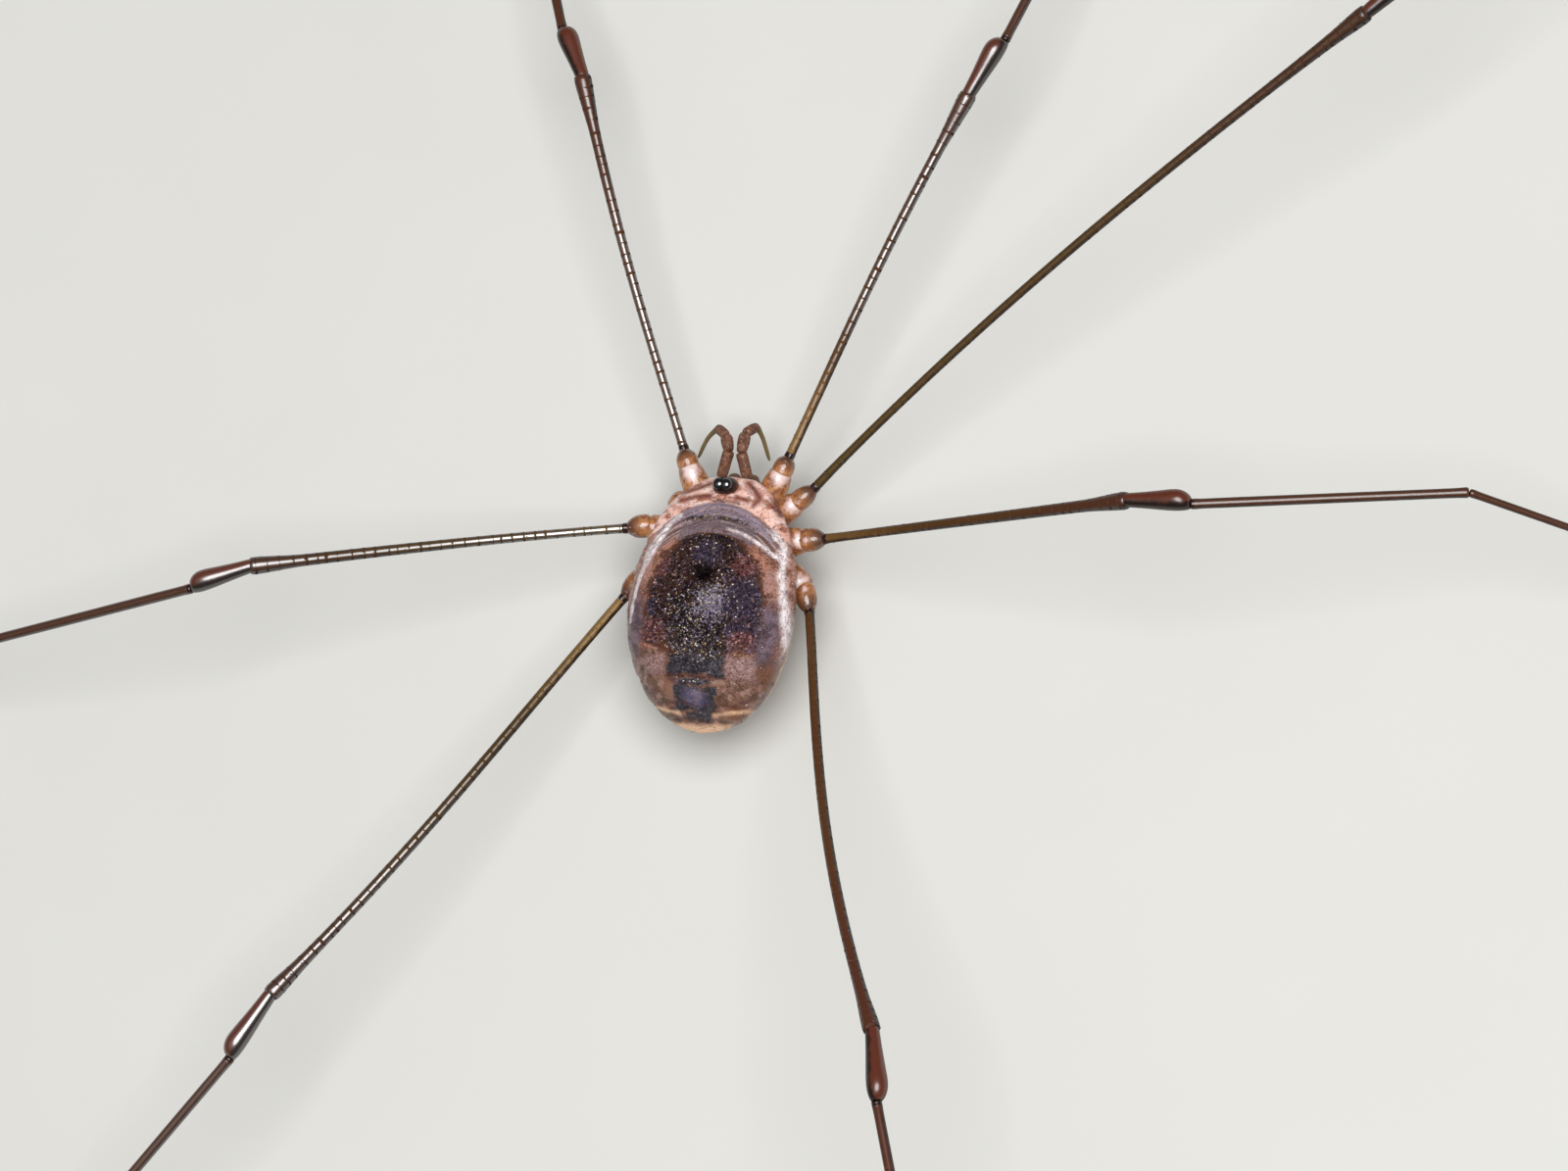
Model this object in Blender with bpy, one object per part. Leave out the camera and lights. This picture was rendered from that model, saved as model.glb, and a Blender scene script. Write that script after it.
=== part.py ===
"""A harvestman of the genus Leiobunum at life size, resting on the floor on seven long legs.

The animal faces -Y, its back is up (+Z) and its right side lies at -X. All sizes below are
millimetres. The second leg of the left side is lost, as it is in the living animal that was
the model: its coxa ends in a healed, rounded stub. The pieces are made in millimetres, and at
the end they are turned to metres, with the origin on the floor at the middle of the box that
holds the whole animal.
"""

import math

import bmesh
import bpy
from mathutils import Vector

MM = 0.001  # metres in a millimetre

# Body outline, seen from above: two half ellipses that meet at the widest place
HALF_WIDTH = 1.72
WIDEST_Y = 0.20
FRONT_REACH = 2.95
REAR_REACH = 2.54
FRONT_Y = -2.62  # the straight front edge of the carapace
REAR_Y = 2.72

# Body seen from the side, as (y, z) points that a smooth line runs through
BACK_LINE = ((-2.62, 2.12), (-2.30, 2.42), (-1.60, 2.74), (-0.50, 3.20), (0.40, 3.38), (1.50, 3.20),
             (2.30, 2.72), (2.72, 2.22))
EDGE_LINE = ((-2.62, 1.95), (-1.50, 2.34), (0.00, 2.52), (1.50, 2.42), (2.72, 2.12))
BELLY_LINE = ((-1.60, 2.30), (0.12, 2.30), (0.62, 1.45), (1.20, 1.22), (2.00, 1.42), (2.55, 1.80),
              (2.72, 2.02))
CARAPACE_UNDERSIDE_Z = 1.62

# The line between prosoma and opisthosoma arches forward at the middle of the back
PROSOMA_END_Y = -1.56
ARCH = 0.55
ARCH_ENDS_Y = 0.80
BODY_GAP = 0.15  # between the prosoma and the opisthosoma
TERGITE_GROOVES = (-1.12, -0.62, -0.05, 0.58, 1.10, 1.50, 1.88, 2.26, 2.52)
GROOVE_DEPTH = 0.04
GROOVE_HALF_WIDTH = 0.09
BODY_SIDES = 32

# Underside of the prosoma, the narrow floor that the coxae grow from
STERNUM_HALF_WIDTH = 0.56
STERNUM_Z = (1.20, 2.14)
STERNUM_Y = (-2.55, 0.02)

# Eye mound on the front of the carapace, and its two eyes
MOUND_Y = -2.27
MOUND_HALF = Vector((0.27, 0.20, 0.27))
MOUND_GAP = 0.05
EYE_RADIUS = 0.10
EYE_OFFSET = Vector((0.15, -0.01, 0.15))
EYE_GAP = 0.03

# Chelicerae and pedipalps below the front edge, as points of the left one; x is mirrored
FACE_GAP = 0.15  # between the front of the prosoma and what grows from it
JAW_PATH = ((0.20, FRONT_Y - FACE_GAP, 1.36), (0.21, -2.91, 1.40), (0.21, -3.08, 1.38))
JAW_RADII = (0.14, 0.17, 0.12)
HAND_PATH = ((0.21, -2.99, 1.54), (0.21, -3.03, 1.36), (0.19, -3.06, 1.12), (0.15, -3.04, 0.80))
HAND_RADII = (0.10, 0.17, 0.14, 0.05)
FINGER_PATH = ((0.24, -3.06, 1.16), (0.26, -3.02, 0.98), (0.20, -2.98, 0.80))
FINGER_RADII = (0.09, 0.07, 0.03)
PALP_RADIUS = 0.22
PALP_TIP_RADIUS = 0.10
PALP_JOINTS = {
    "left": ((0.30, FRONT_Y - FACE_GAP, 1.80), (0.29, -3.20, 1.96), (0.36, -3.60, 1.82),
             (0.62, -3.76, 1.40), (1.15, -3.24, 0.78)),
    "right": ((0.30, FRONT_Y - FACE_GAP, 1.80), (0.29, -3.20, 1.96), (0.31, -3.62, 1.82),
              (0.33, -3.84, 1.42), (0.36, -3.30, 0.78)),
}
PALP_PARTS = ("femur", "patella", "tibia", "tarsus")

# Legs. Every tube is LEG_RADIUS thick at least, except at its tip
LEG_RADIUS = 0.26
LEG_SIDES = 8
CLAW_RADIUS = 0.13
JOINT_GAP = 0.15
FEMUR_START = {  # where each left femur leaves its trochanter
    1: (1.12, -3.14, 1.95),
    2: (1.73, -2.53, 1.95),
    3: (2.10, -1.44, 1.95),
    4: (1.98, -0.01, 1.95),
}
COXA_ROOT = {
    1: (0.30, -2.30, 1.55),
    2: (0.42, -1.90, 1.55),
    3: (0.42, -1.32, 1.55),
    4: (0.40, -0.62, 1.55),
}
TROCHANTER_LENGTH = 0.58
TROCHANTER_RADII = (0.26, 0.29, 0.30, 0.28, 0.26)
COXA_RADII = (0.26, 0.34, 0.35, 0.29)
STUB_RADII = (0.26, 0.34, 0.34, 0.29, 0.16)  # the coxa that has lost its leg
COXA_FLATNESS = {1: 1.0, 2: 1.35, 3: 1.4, 4: 1.45}  # how many times wider than high a coxa is
LOST_LEG = ("left", 2)

# Lengths of the free segments of each pair of legs
SEGMENTS = ("femur", "patella", "tibia", "metatarsus", "tarsus")
LENGTHS = {
    1: (8.17, 1.20, 6.20, 7.20, 12.0),
    2: (15.27, 1.60, 12.5, 10.5, 22.0),
    3: (7.81, 1.30, 5.50, 8.00, 12.5),
    4: (11.0, 1.50, 8.80, 11.5, 16.0),
}
# Heading of each segment in degrees, from straight ahead (0) to straight back (180), and its
# rise in degrees over the floor. The metatarsus falls to the floor, so it has a heading only.
# Sweep is how far the femur bows forward, and curl is how far the tarsus turns on the floor.
POSE = {
    ("left", 1): {"femur": (21.4, 7.0), "patella": (31.0, -10.0), "tibia": (22.8, -12.0),
                  "metatarsus": 25.0, "curl": 42.0, "sweep": 0.0},
    ("left", 3): {"femur": (104.1, 17.0), "patella": (114.0, 3.0), "tibia": (104.5, -15.0),
                  "metatarsus": 108.0, "curl": -38.0, "sweep": 0.0},
    ("left", 4): {"femur": (148.4, 12.0), "patella": (153.5, 3.0), "tibia": (141.5, -11.0),
                  "metatarsus": 144.0, "curl": -44.0, "sweep": -0.15},
    ("right", 1): {"femur": (23.0, 9.0), "patella": (27.5, 3.0), "tibia": (17.0, -13.0),
                   "metatarsus": 20.0, "curl": 46.0, "sweep": 0.0},
    ("right", 2): {"femur": (48.8, 13.0), "patella": (47.5, 3.0), "tibia": (51.0, -12.5),
                   "metatarsus": 54.0, "curl": 48.0, "sweep": 0.35},
    ("right", 3): {"femur": (84.3, 24.0), "patella": (88.2, 3.0), "tibia": (80.7, -14.0),
                   "metatarsus": 101.0, "curl": -36.0, "sweep": 0.0},
    ("right", 4): {"femur": (157.2, 26.0), "patella": (164.4, 15.0), "tibia": (167.0, -22.0),
                   "metatarsus": 163.0, "curl": -46.0, "sweep": -0.30},
}

COLOURS = {  # colour, roughness
    "prosoma": ((0.42, 0.16, 0.08), 0.45),
    "opisthosoma": ((0.10, 0.05, 0.05), 0.45),
    "eye": ((0.01, 0.01, 0.01), 0.05),
    "palp": ((0.30, 0.11, 0.05), 0.40),
    "trochanter": ((0.50, 0.22, 0.07), 0.30),
    "leg": ((0.13, 0.05, 0.02), 0.28),
    "tarsus": ((0.20, 0.12, 0.05), 0.35),
}


def clear_scene():
    for thing in list(bpy.data.objects):
        bpy.data.objects.remove(thing, do_unlink=True)


def finish(kind):
    """The material of one kind of surface, made once."""
    if kind in bpy.data.materials:
        return bpy.data.materials[kind]
    colour, roughness = COLOURS[kind]
    made = bpy.data.materials.new(kind)
    made.use_nodes = True
    shader = made.node_tree.nodes["Principled BSDF"]
    shader.inputs["Base Color"].default_value = (*colour, 1.0)
    shader.inputs["Roughness"].default_value = roughness
    shader.inputs["Metallic"].default_value = 0.0
    return made


def smooth_line(points, at):
    """The value at `at` of a curve through (position, value) points that never overshoots them."""
    spots = [p[0] for p in points]
    values = [p[1] for p in points]
    if at <= spots[0]:
        return values[0]
    if at >= spots[-1]:
        return values[-1]
    last = len(points) - 1
    steps = [(values[i + 1] - values[i]) / (spots[i + 1] - spots[i]) for i in range(last)]
    slopes = [steps[0]]
    for before, after in zip(steps, steps[1:]):
        slopes.append(0.0 if before * after <= 0 else 2 * before * after / (before + after))
    slopes.append(steps[-1])
    i = max(k for k in range(last) if spots[k] <= at)
    span = spots[i + 1] - spots[i]
    t = (at - spots[i]) / span
    return (values[i] * (1 + 2 * t) * (1 - t) ** 2 + slopes[i] * span * t * (1 - t) ** 2
            + values[i + 1] * t * t * (3 - 2 * t) - slopes[i + 1] * span * t * t * (1 - t))


def half_width(y):
    reach = REAR_REACH if y > WIDEST_Y else FRONT_REACH
    return HALF_WIDTH * math.sqrt(max(0.0, 1 - ((y - WIDEST_Y) / reach) ** 2))


def arch_at(y):
    """How far the sides of the slice at y lie behind its middle."""
    if y < PROSOMA_END_Y:
        return ARCH * (y - FRONT_Y) / (PROSOMA_END_Y - FRONT_Y)
    return ARCH * max(0.0, (ARCH_ENDS_Y - y) / (ARCH_ENDS_Y - PROSOMA_END_Y))


def groove_at(y):
    """How far the surface dips at y into the grooves between the tergites."""
    return sum(GROOVE_DEPTH * max(0.0, 1 - abs(y - at) / GROOVE_HALF_WIDTH) for at in TERGITE_GROOVES)


def body_slice(y, belly_z, shrink=1.0):
    """One ring of the body. It is widest at the edge line, rounder above it and flatter below."""
    side_y = y + arch_at(y)
    dip = groove_at(y)
    width = max(0.02, half_width(side_y) * shrink - dip)
    edge = smooth_line(EDGE_LINE, side_y)
    top = (smooth_line(BACK_LINE, y) - edge) * shrink - dip
    bottom = (edge - belly_z) * shrink
    ring = []
    for i in range(BODY_SIDES):
        turn = 2 * math.pi * i / BODY_SIDES
        across = math.cos(turn)
        up = math.sin(turn)
        if up < 0:
            across = math.copysign(abs(across) ** 0.8, across)
            up = -abs(up) ** 0.8
        height = edge + (top if up > 0 else bottom) * up
        ring.append(Vector((width * across, y + arch_at(y) * across * across, height)))
    return ring


def mesh_object(name, rings, kind, laddered=False):
    """A closed object from rings of points.

    Each end is closed by a fan on its middle point or, where it is laddered, by rungs that run
    from the upper half of the ring to the lower one and so keep the ring's arch.
    """
    shape = bmesh.new()
    rows = [[shape.verts.new(point) for point in ring] for ring in rings]
    count = len(rows[0])
    for row, after in zip(rows, rows[1:]):
        for i in range(count):
            j = (i + 1) % count
            shape.faces.new((row[i], row[j], after[j], after[i]))
    for row in (rows[0], rows[-1]):
        if laddered:
            shape.faces.new((row[0], row[1], row[-1]))
            shape.faces.new((row[count // 2], row[count // 2 - 1], row[count // 2 + 1]))
            for i in range(1, count // 2 - 1):
                shape.faces.new((row[i], row[i + 1], row[-i - 1], row[-i]))
            continue
        middle = shape.verts.new(sum((v.co for v in row), Vector()) / count)
        for i in range(count):
            shape.faces.new((row[i], row[(i + 1) % count], middle))
    bmesh.ops.recalc_face_normals(shape, faces=shape.faces)
    mesh = bpy.data.meshes.new(name)
    shape.to_mesh(mesh)
    shape.free()
    mesh.materials.append(finish(kind))
    mesh.shade_smooth()
    mesh.set_sharp_from_angle(angle=math.radians(35))
    made = bpy.data.objects.new(name, mesh)
    bpy.context.scene.collection.objects.link(made)
    return made


def across_plane(point, centre, along, normal):
    """The point slid along the tube until it lies on the plane through the centre."""
    return point - along * ((point - centre).dot(normal) / along.dot(normal))


def tube_rings(path, radii, sides, first_normal=None, last_normal=None, wide=1.0):
    """Rings round a path, with a flat side down. The end rings lie on the planes given."""
    rings = []
    for i, centre in enumerate(path):
        before = path[i] - path[i - 1] if i > 0 else path[1] - path[0]
        after = path[i + 1] - path[i] if i < len(path) - 1 else before
        along = (before.normalized() + after.normalized()).normalized()
        side = along.cross(Vector((0, 0, 1)))
        side = side.normalized() if side.length > 0.2 else Vector((1, 0, 0))
        up = side.cross(along).normalized()
        normal = first_normal if i == 0 else last_normal if i == len(path) - 1 else None
        ring = []
        for k in range(sides):
            turn = 2 * math.pi * (k + 0.5) / sides
            point = centre + (side * math.sin(turn) * wide - up * math.cos(turn)) * radii[i]
            ring.append(across_plane(point, centre, along, normal) if normal else point)
        rings.append(ring)
    return rings


def resample(path, radii, count):
    """The same path and radii at evenly spread points."""
    marks = [0.0]
    for a, b in zip(path, path[1:]):
        marks.append(marks[-1] + (b - a).length)
    points, sizes = [], []
    for n in range(count):
        at = marks[-1] * n / (count - 1)
        i = min(len(path) - 2, max(k for k in range(len(marks)) if marks[k] <= at + 1e-9))
        t = (at - marks[i]) / (marks[i + 1] - marks[i])
        points.append(path[i].lerp(path[i + 1], t))
        sizes.append(radii[i] + (radii[i + 1] - radii[i]) * t)
    return points, sizes


def fuse(name, pieces):
    """One closed body from closed pieces that overlap; only the largest surface stays."""
    group = bpy.data.collections.new(name + "_pieces")
    bpy.context.scene.collection.children.link(group)
    base, others = pieces[0], pieces[1:]
    for piece in others:
        bpy.context.scene.collection.objects.unlink(piece)
        group.objects.link(piece)
    join = base.modifiers.new("join", "BOOLEAN")
    join.operation = "UNION"
    join.operand_type = "COLLECTION"
    join.collection = group
    join.solver = "EXACT"
    bpy.context.view_layer.update()
    graph = bpy.context.evaluated_depsgraph_get()
    joined = bpy.data.meshes.new_from_object(base.evaluated_get(graph))
    base.modifiers.clear()
    base.data = joined
    base.name = name
    for piece in others:
        bpy.data.objects.remove(piece, do_unlink=True)
    bpy.data.collections.remove(group)
    keep_largest(joined)
    joined.shade_smooth()
    joined.set_sharp_from_angle(angle=math.radians(35))
    return base


def keep_largest(mesh):
    shape = bmesh.new()
    shape.from_mesh(mesh)
    left = set(shape.verts)
    groups = []
    while left:
        group = {left.pop()}
        edge = list(group)
        while edge:
            for link in edge.pop().link_edges:
                for vert in link.verts:
                    if vert in left:
                        left.remove(vert)
                        group.add(vert)
                        edge.append(vert)
        groups.append(group)
    largest = max(groups, key=len)
    bmesh.ops.delete(shape, geom=[v for v in shape.verts if v not in largest], context="VERTS")
    shape.to_mesh(mesh)
    shape.free()


def mirrored(points, side):
    sign = 1 if side == "left" else -1
    return [Vector((sign * x, y, z)) for x, y, z in points]


def stations(start, end, marks, step):
    """Places from start to end: each mark with its shoulders, and more where they lie apart."""
    wanted = {round(start, 4), round(end, 4)}
    for mark in marks:
        for shift in (-GROOVE_HALF_WIDTH, 0.0, GROOVE_HALF_WIDTH):
            if start < mark + shift < end:
                wanted.add(round(mark + shift, 4))
    places = sorted(wanted)
    filled = []
    for a, b in zip(places, places[1:]):
        parts = max(1, round((b - a) / step))
        filled += [a + (b - a) * k / parts for k in range(parts)]
    return filled + [places[-1]]


def build_opisthosoma():
    front = PROSOMA_END_Y + BODY_GAP
    rings = [body_slice(front, smooth_line(BELLY_LINE, front), 0.93)]
    for y in stations(front + 0.05, REAR_Y - 0.14, TERGITE_GROOVES, 0.20):
        rings.append(body_slice(y, smooth_line(BELLY_LINE, y)))
    for y, shrink in ((REAR_Y - 0.06, 0.95), (REAR_Y - 0.01, 0.80)):
        rings.append(body_slice(y, smooth_line(BELLY_LINE, y), shrink))
    return mesh_object("opisthosoma", rings, "opisthosoma", laddered=True)


def build_carapace():
    rings = [body_slice(FRONT_Y - 0.03, CARAPACE_UNDERSIDE_Z, 0.88)]
    for y in stations(FRONT_Y, PROSOMA_END_Y - 0.05, (), 0.14):
        rings.append(body_slice(y, CARAPACE_UNDERSIDE_Z))
    rings.append(body_slice(PROSOMA_END_Y, CARAPACE_UNDERSIDE_Z, 0.93))
    return mesh_object("prosoma", rings, "prosoma", laddered=True)


def build_sternum():
    """The floor of the prosoma, rounded below, that reaches back between the last coxae."""
    low, high = STERNUM_Z
    start, end = STERNUM_Y
    middle = (low + high) / 2
    rings = []
    for share, size in ((0.0, 0.80), (0.04, 1.0), (0.5, 1.0), (0.92, 0.85), (1.0, 0.55)):
        y = start + (end - start) * share
        ring = []
        for k in range(12):
            turn = 2 * math.pi * (k + 0.5) / 12
            x = STERNUM_HALF_WIDTH * size * math.cos(turn)
            z = middle + (high - low) / 2 * size * math.sin(turn)
            ring.append(Vector((x, y, z)))
        rings.append(ring)
    return mesh_object("sternum", rings, "prosoma")


def leg_root(side, number):
    """The middle of the coxa's end face, and where the femur starts."""
    joint, root = mirrored((FEMUR_START[number], COXA_ROOT[number]), side)
    inward = (root - joint).normalized()
    return joint + inward * TROCHANTER_LENGTH, joint


def build_coxa(side, number):
    root = mirrored((COXA_ROOT[number],), side)[0]
    end = leg_root(side, number)[0]
    radii = STUB_RADII if (side, number) == LOST_LEG else COXA_RADII
    last = len(radii) - 1
    path = [root.lerp(end, i / last) for i in range(last + 1)]
    normal = (end - root).normalized()
    rings = tube_rings(path, radii, 12, None, normal, COXA_FLATNESS[number])
    return mesh_object(f"coxa_{side}_{number}", rings, "prosoma")


def build_prosoma():
    pieces = [build_carapace(), build_sternum()]
    pieces += [build_coxa(side, number) for side in ("left", "right") for number in FEMUR_START]
    return fuse("prosoma", pieces)


def mound_point(around, rise):
    """A point of the eye mound. Its rim follows the carapace, a small gap above it."""
    x = MOUND_HALF.x * math.cos(around) * math.cos(rise)
    y = MOUND_Y + MOUND_HALF.y * math.sin(around) * math.cos(rise)
    edge = smooth_line(EDGE_LINE, y)
    rib = math.sqrt(1 - (x / half_width(y)) ** 2)
    ground = edge + (smooth_line(BACK_LINE, y) - edge) * rib + MOUND_GAP
    return Vector((x, y, ground + MOUND_HALF.z * math.sin(rise)))


def ball(name, centre, radius, kind):
    """A round ball of eight bands."""
    rings = []
    for band in range(1, 8):
        rise = math.pi * (band / 8 - 0.5)
        rings.append([centre + radius * Vector((math.cos(rise) * math.cos(a), math.cos(rise) * math.sin(a),
                                                math.sin(rise)))
                      for a in (2 * math.pi * k / 12 for k in range(12))])
    rings[0] = [Vector((p.x, p.y, centre.z - radius * 0.97)) for p in rings[0]]
    rings[-1] = [Vector((p.x, p.y, centre.z + radius * 0.97)) for p in rings[-1]]
    return mesh_object(name, rings, kind)


def build_eyes():
    """The eye mound, hollowed into a cup under each eye, and the eyes in the cups."""
    bands = (0.0, 0.35, 0.70, 1.02, 1.30)
    rings = [[mound_point(2 * math.pi * k / 20, rise) for k in range(20)] for rise in bands]
    mound = mesh_object("ocularium", rings, "eye")
    ground = smooth_line(BACK_LINE, MOUND_Y) + MOUND_GAP
    for side in ("left", "right"):
        offset = mirrored((EYE_OFFSET,), side)[0]
        centre = Vector((0, MOUND_Y, ground)) + offset
        ball("eye_" + side, centre, EYE_RADIUS, "eye")
        cutter = ball("cup_" + side, centre, EYE_RADIUS + EYE_GAP, "eye")
        cut = mound.modifiers.new("cup", "BOOLEAN")
        cut.operation = "DIFFERENCE"
        cut.object = cutter
        cut.solver = "EXACT"
        bpy.context.view_layer.update()
        carved = bpy.data.meshes.new_from_object(mound.evaluated_get(bpy.context.evaluated_depsgraph_get()))
        mound.modifiers.clear()
        mound.data = carved
        bpy.data.objects.remove(cutter, do_unlink=True)
    keep_largest(mound.data)


def build_chelicera(side):
    """A jaw that reaches forward, the hand that hangs from it, and the hand's movable finger."""
    face = Vector((0, -1, 0))
    pieces = []
    for path, radii, normal in ((JAW_PATH, JAW_RADII, face), (HAND_PATH, HAND_RADII, None),
                                (FINGER_PATH, FINGER_RADII, None)):
        pieces.append(mesh_object("jaw", tube_rings(mirrored(path, side), radii, 10, normal), "palp"))
    fuse("chelicera_" + side, pieces)


def joint_planes(path):
    """The plane of each joint of a jointed path: halfway between the two directions."""
    ways = [(b - a).normalized() for a, b in zip(path, path[1:])]
    planes = [ways[0]] + [(a + b).normalized() for a, b in zip(ways, ways[1:])] + [ways[-1]]
    return planes


def trimmed(path, start, end):
    """The path with a little taken off its ends."""
    first = path[0] + (path[1] - path[0]).normalized() * start
    last = path[-1] + (path[-2] - path[-1]).normalized() * end
    return [first] + path[1:-1] + [last]


def build_palp(side):
    joints = mirrored(PALP_JOINTS[side], side)
    planes = joint_planes(joints)
    planes[0] = Vector((0, -1, 0))
    for i, part in enumerate(PALP_PARTS):
        last = part == "tarsus"
        ends = (0.0 if i == 0 else JOINT_GAP / 2, 0.0 if last else JOINT_GAP / 2)
        path = trimmed([joints[i], joints[i + 1]], *ends)
        radii = (PALP_RADIUS, PALP_TIP_RADIUS if last else PALP_RADIUS)
        path, radii = resample(path, radii, 6 if last else 3)
        rings = tube_rings(path, radii, 10, planes[i], None if last else planes[i + 1])
        mesh_object(f"palp_{side}_{part}", rings, "palp")


def heading(degrees, rise, side):
    """The unit vector of a leg segment, from its heading and its rise over the floor."""
    turn, lift = math.radians(degrees), math.radians(rise)
    sign = 1 if side == "left" else -1
    return Vector((sign * math.sin(turn) * math.cos(lift), -math.cos(turn) * math.cos(lift), math.sin(lift)))


def floor_height(radius):
    """The height of a tube's axis when its lowest flat side lies on the floor."""
    return radius * math.cos(math.pi / LEG_SIDES)


def leg_joints(side, number):
    """The ends of femur, patella, tibia and metatarsus; the last lies on the floor."""
    pose = POSE[side, number]
    femur, patella, tibia, metatarsus = LENGTHS[number][:4]
    joints = [leg_root(side, number)[1]]
    for name, length in (("femur", femur), ("patella", patella), ("tibia", tibia)):
        joints.append(joints[-1] + heading(*pose[name], side) * length)
    fall = math.degrees(math.asin((floor_height(LEG_RADIUS) - joints[-1].z) / metatarsus))
    joints.append(joints[-1] + heading(pose["metatarsus"], fall, side) * metatarsus)
    return joints


def tarsus_path(side, number, start):
    """The long tarsus on the floor, turning evenly away from the metatarsus."""
    pose = POSE[side, number]
    length = LENGTHS[number][4]
    count = round(length / 0.9)
    path, radii = [start], [LEG_RADIUS]
    for i in range(1, count + 1):
        turn = pose["metatarsus"] + pose["curl"] * ((i - 0.5) / count) ** 1.5
        step = path[-1] + heading(turn, 0.0, side) * (length / count)
        radii.append(LEG_RADIUS + (CLAW_RADIUS - LEG_RADIUS) * (i / count) ** 3)
        path.append(Vector((step.x, step.y, floor_height(radii[-1]))))
    return path, radii


def bowed(start, end, sweep, count):
    """Points from start to end that bow sideways by sweep, level with the floor."""
    aside = (end - start).cross(Vector((0, 0, 1))).normalized()
    return [start.lerp(end, t) + aside * sweep * math.sin(math.pi * t)
            for t in (i / (count - 1) for i in range(count))]


def build_leg(side, number):
    coxa_end, joint = leg_root(side, number)
    joints = leg_joints(side, number)
    path, radii = tarsus_path(side, number, joints[-1])
    planes = joint_planes(joints + [path[1]])
    name = f"leg_{side}_{number}_"

    inward = (joint - coxa_end).normalized()
    planes[0] = (inward + planes[0]).normalized()
    bulb = trimmed([coxa_end, joint], JOINT_GAP, JOINT_GAP / 2)
    bulb_path = [bulb[0].lerp(bulb[1], i / 4) for i in range(5)]
    rings = tube_rings(bulb_path, TROCHANTER_RADII, 12, inward, planes[0])
    mesh_object(name + "trochanter", rings, "trochanter")

    forward = 1 if side == "left" else -1
    shapes = {
        "femur": ([LEG_RADIUS] * 7 + [LEG_RADIUS * 1.08] * 2, POSE[side, number]["sweep"] * forward),
        "patella": ([LEG_RADIUS, LEG_RADIUS * 1.05, LEG_RADIUS * 1.2, LEG_RADIUS * 1.25, LEG_RADIUS * 1.05], 0.0),
        "tibia": ([LEG_RADIUS] * 6, 0.0),
        "metatarsus": ([LEG_RADIUS] * 6, 0.0),
    }
    for i, (segment, (sizes, sweep)) in enumerate(shapes.items()):
        ends = trimmed([joints[i], joints[i + 1]], JOINT_GAP / 2, JOINT_GAP / 2)
        line = bowed(ends[0], ends[1], sweep, len(sizes))
        rings = tube_rings(line, sizes, LEG_SIDES, planes[i], planes[i + 1])
        mesh_object(name + segment, rings, "leg")

    path = trimmed(path, JOINT_GAP / 2, 0.0)
    rings = tube_rings(path, radii, LEG_SIDES, planes[4])
    mesh_object(name + "tarsus", rings, "tarsus")


def settle():
    """Turns every mesh to metres, with the origin on the floor under the middle of the whole."""
    bodies = [thing for thing in bpy.context.scene.objects if thing.type == "MESH"]
    spots = [v.co for thing in bodies for v in thing.data.vertices]
    low = Vector([min(spot[i] for spot in spots) for i in range(3)])
    high = Vector([max(spot[i] for spot in spots) for i in range(3)])
    shift = Vector((-(low.x + high.x) / 2, -(low.y + high.y) / 2, -low.z))
    for thing in bodies:
        for v in thing.data.vertices:
            v.co = (v.co + shift) * MM


def main():
    clear_scene()
    build_opisthosoma()
    build_prosoma()
    build_eyes()
    for side in ("left", "right"):
        build_chelicera(side)
        build_palp(side)
    for side, number in POSE:
        build_leg(side, number)
    settle()


main()
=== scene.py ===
# %% [markdown]
# # A harvestman at life size
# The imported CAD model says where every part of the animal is. It stays as the fixed frame, and the
# cells below dress it: one skin for the body, glossy tubes of chitin for the legs, and the markings.
# The body is only 5.4 mm long, so all shapes are worked out in millimetres in the animal's own
# frame: it faces -Y, its back is up, its left side lies at +X and the floor is z = 0.

# %% Load the CAD frame
import math
import random

import bpy
import numpy as np
from mathutils import Matrix, Vector, noise


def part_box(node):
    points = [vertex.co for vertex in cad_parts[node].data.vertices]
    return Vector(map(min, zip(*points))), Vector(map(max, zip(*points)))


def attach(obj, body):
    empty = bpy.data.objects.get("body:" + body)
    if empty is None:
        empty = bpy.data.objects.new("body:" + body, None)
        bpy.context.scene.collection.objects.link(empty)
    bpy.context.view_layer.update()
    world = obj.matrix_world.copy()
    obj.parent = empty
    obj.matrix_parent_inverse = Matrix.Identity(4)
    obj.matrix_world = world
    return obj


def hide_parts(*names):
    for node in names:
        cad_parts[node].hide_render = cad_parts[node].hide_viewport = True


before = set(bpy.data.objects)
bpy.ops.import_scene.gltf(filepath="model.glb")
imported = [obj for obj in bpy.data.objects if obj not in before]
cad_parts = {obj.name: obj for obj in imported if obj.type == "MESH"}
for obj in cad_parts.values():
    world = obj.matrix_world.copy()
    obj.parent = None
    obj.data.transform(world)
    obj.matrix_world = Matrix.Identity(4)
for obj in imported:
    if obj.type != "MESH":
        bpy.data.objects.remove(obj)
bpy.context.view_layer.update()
MM = 0.001
MOUND_Y = -2.27  # where the eye mound stands on the midline
mound_low, mound_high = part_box("ocularium")
HOME = (mound_low + mound_high) / 2 / MM - Vector((0, MOUND_Y, 0))
HOME.z = 0.0
print("the animal's own frame starts at, mm:", [round(v, 3) for v in HOME])

# %% [markdown]
# ## Helpers for modelling
# Blender's operators act on whatever is selected, so every piece starts with nothing selected. A
# leg segment could be a curve with a bevel, but a ring pulled up step by step, as one does by hand
# with extrude and scale, gives collars, steps and humps where they are wanted.

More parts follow.
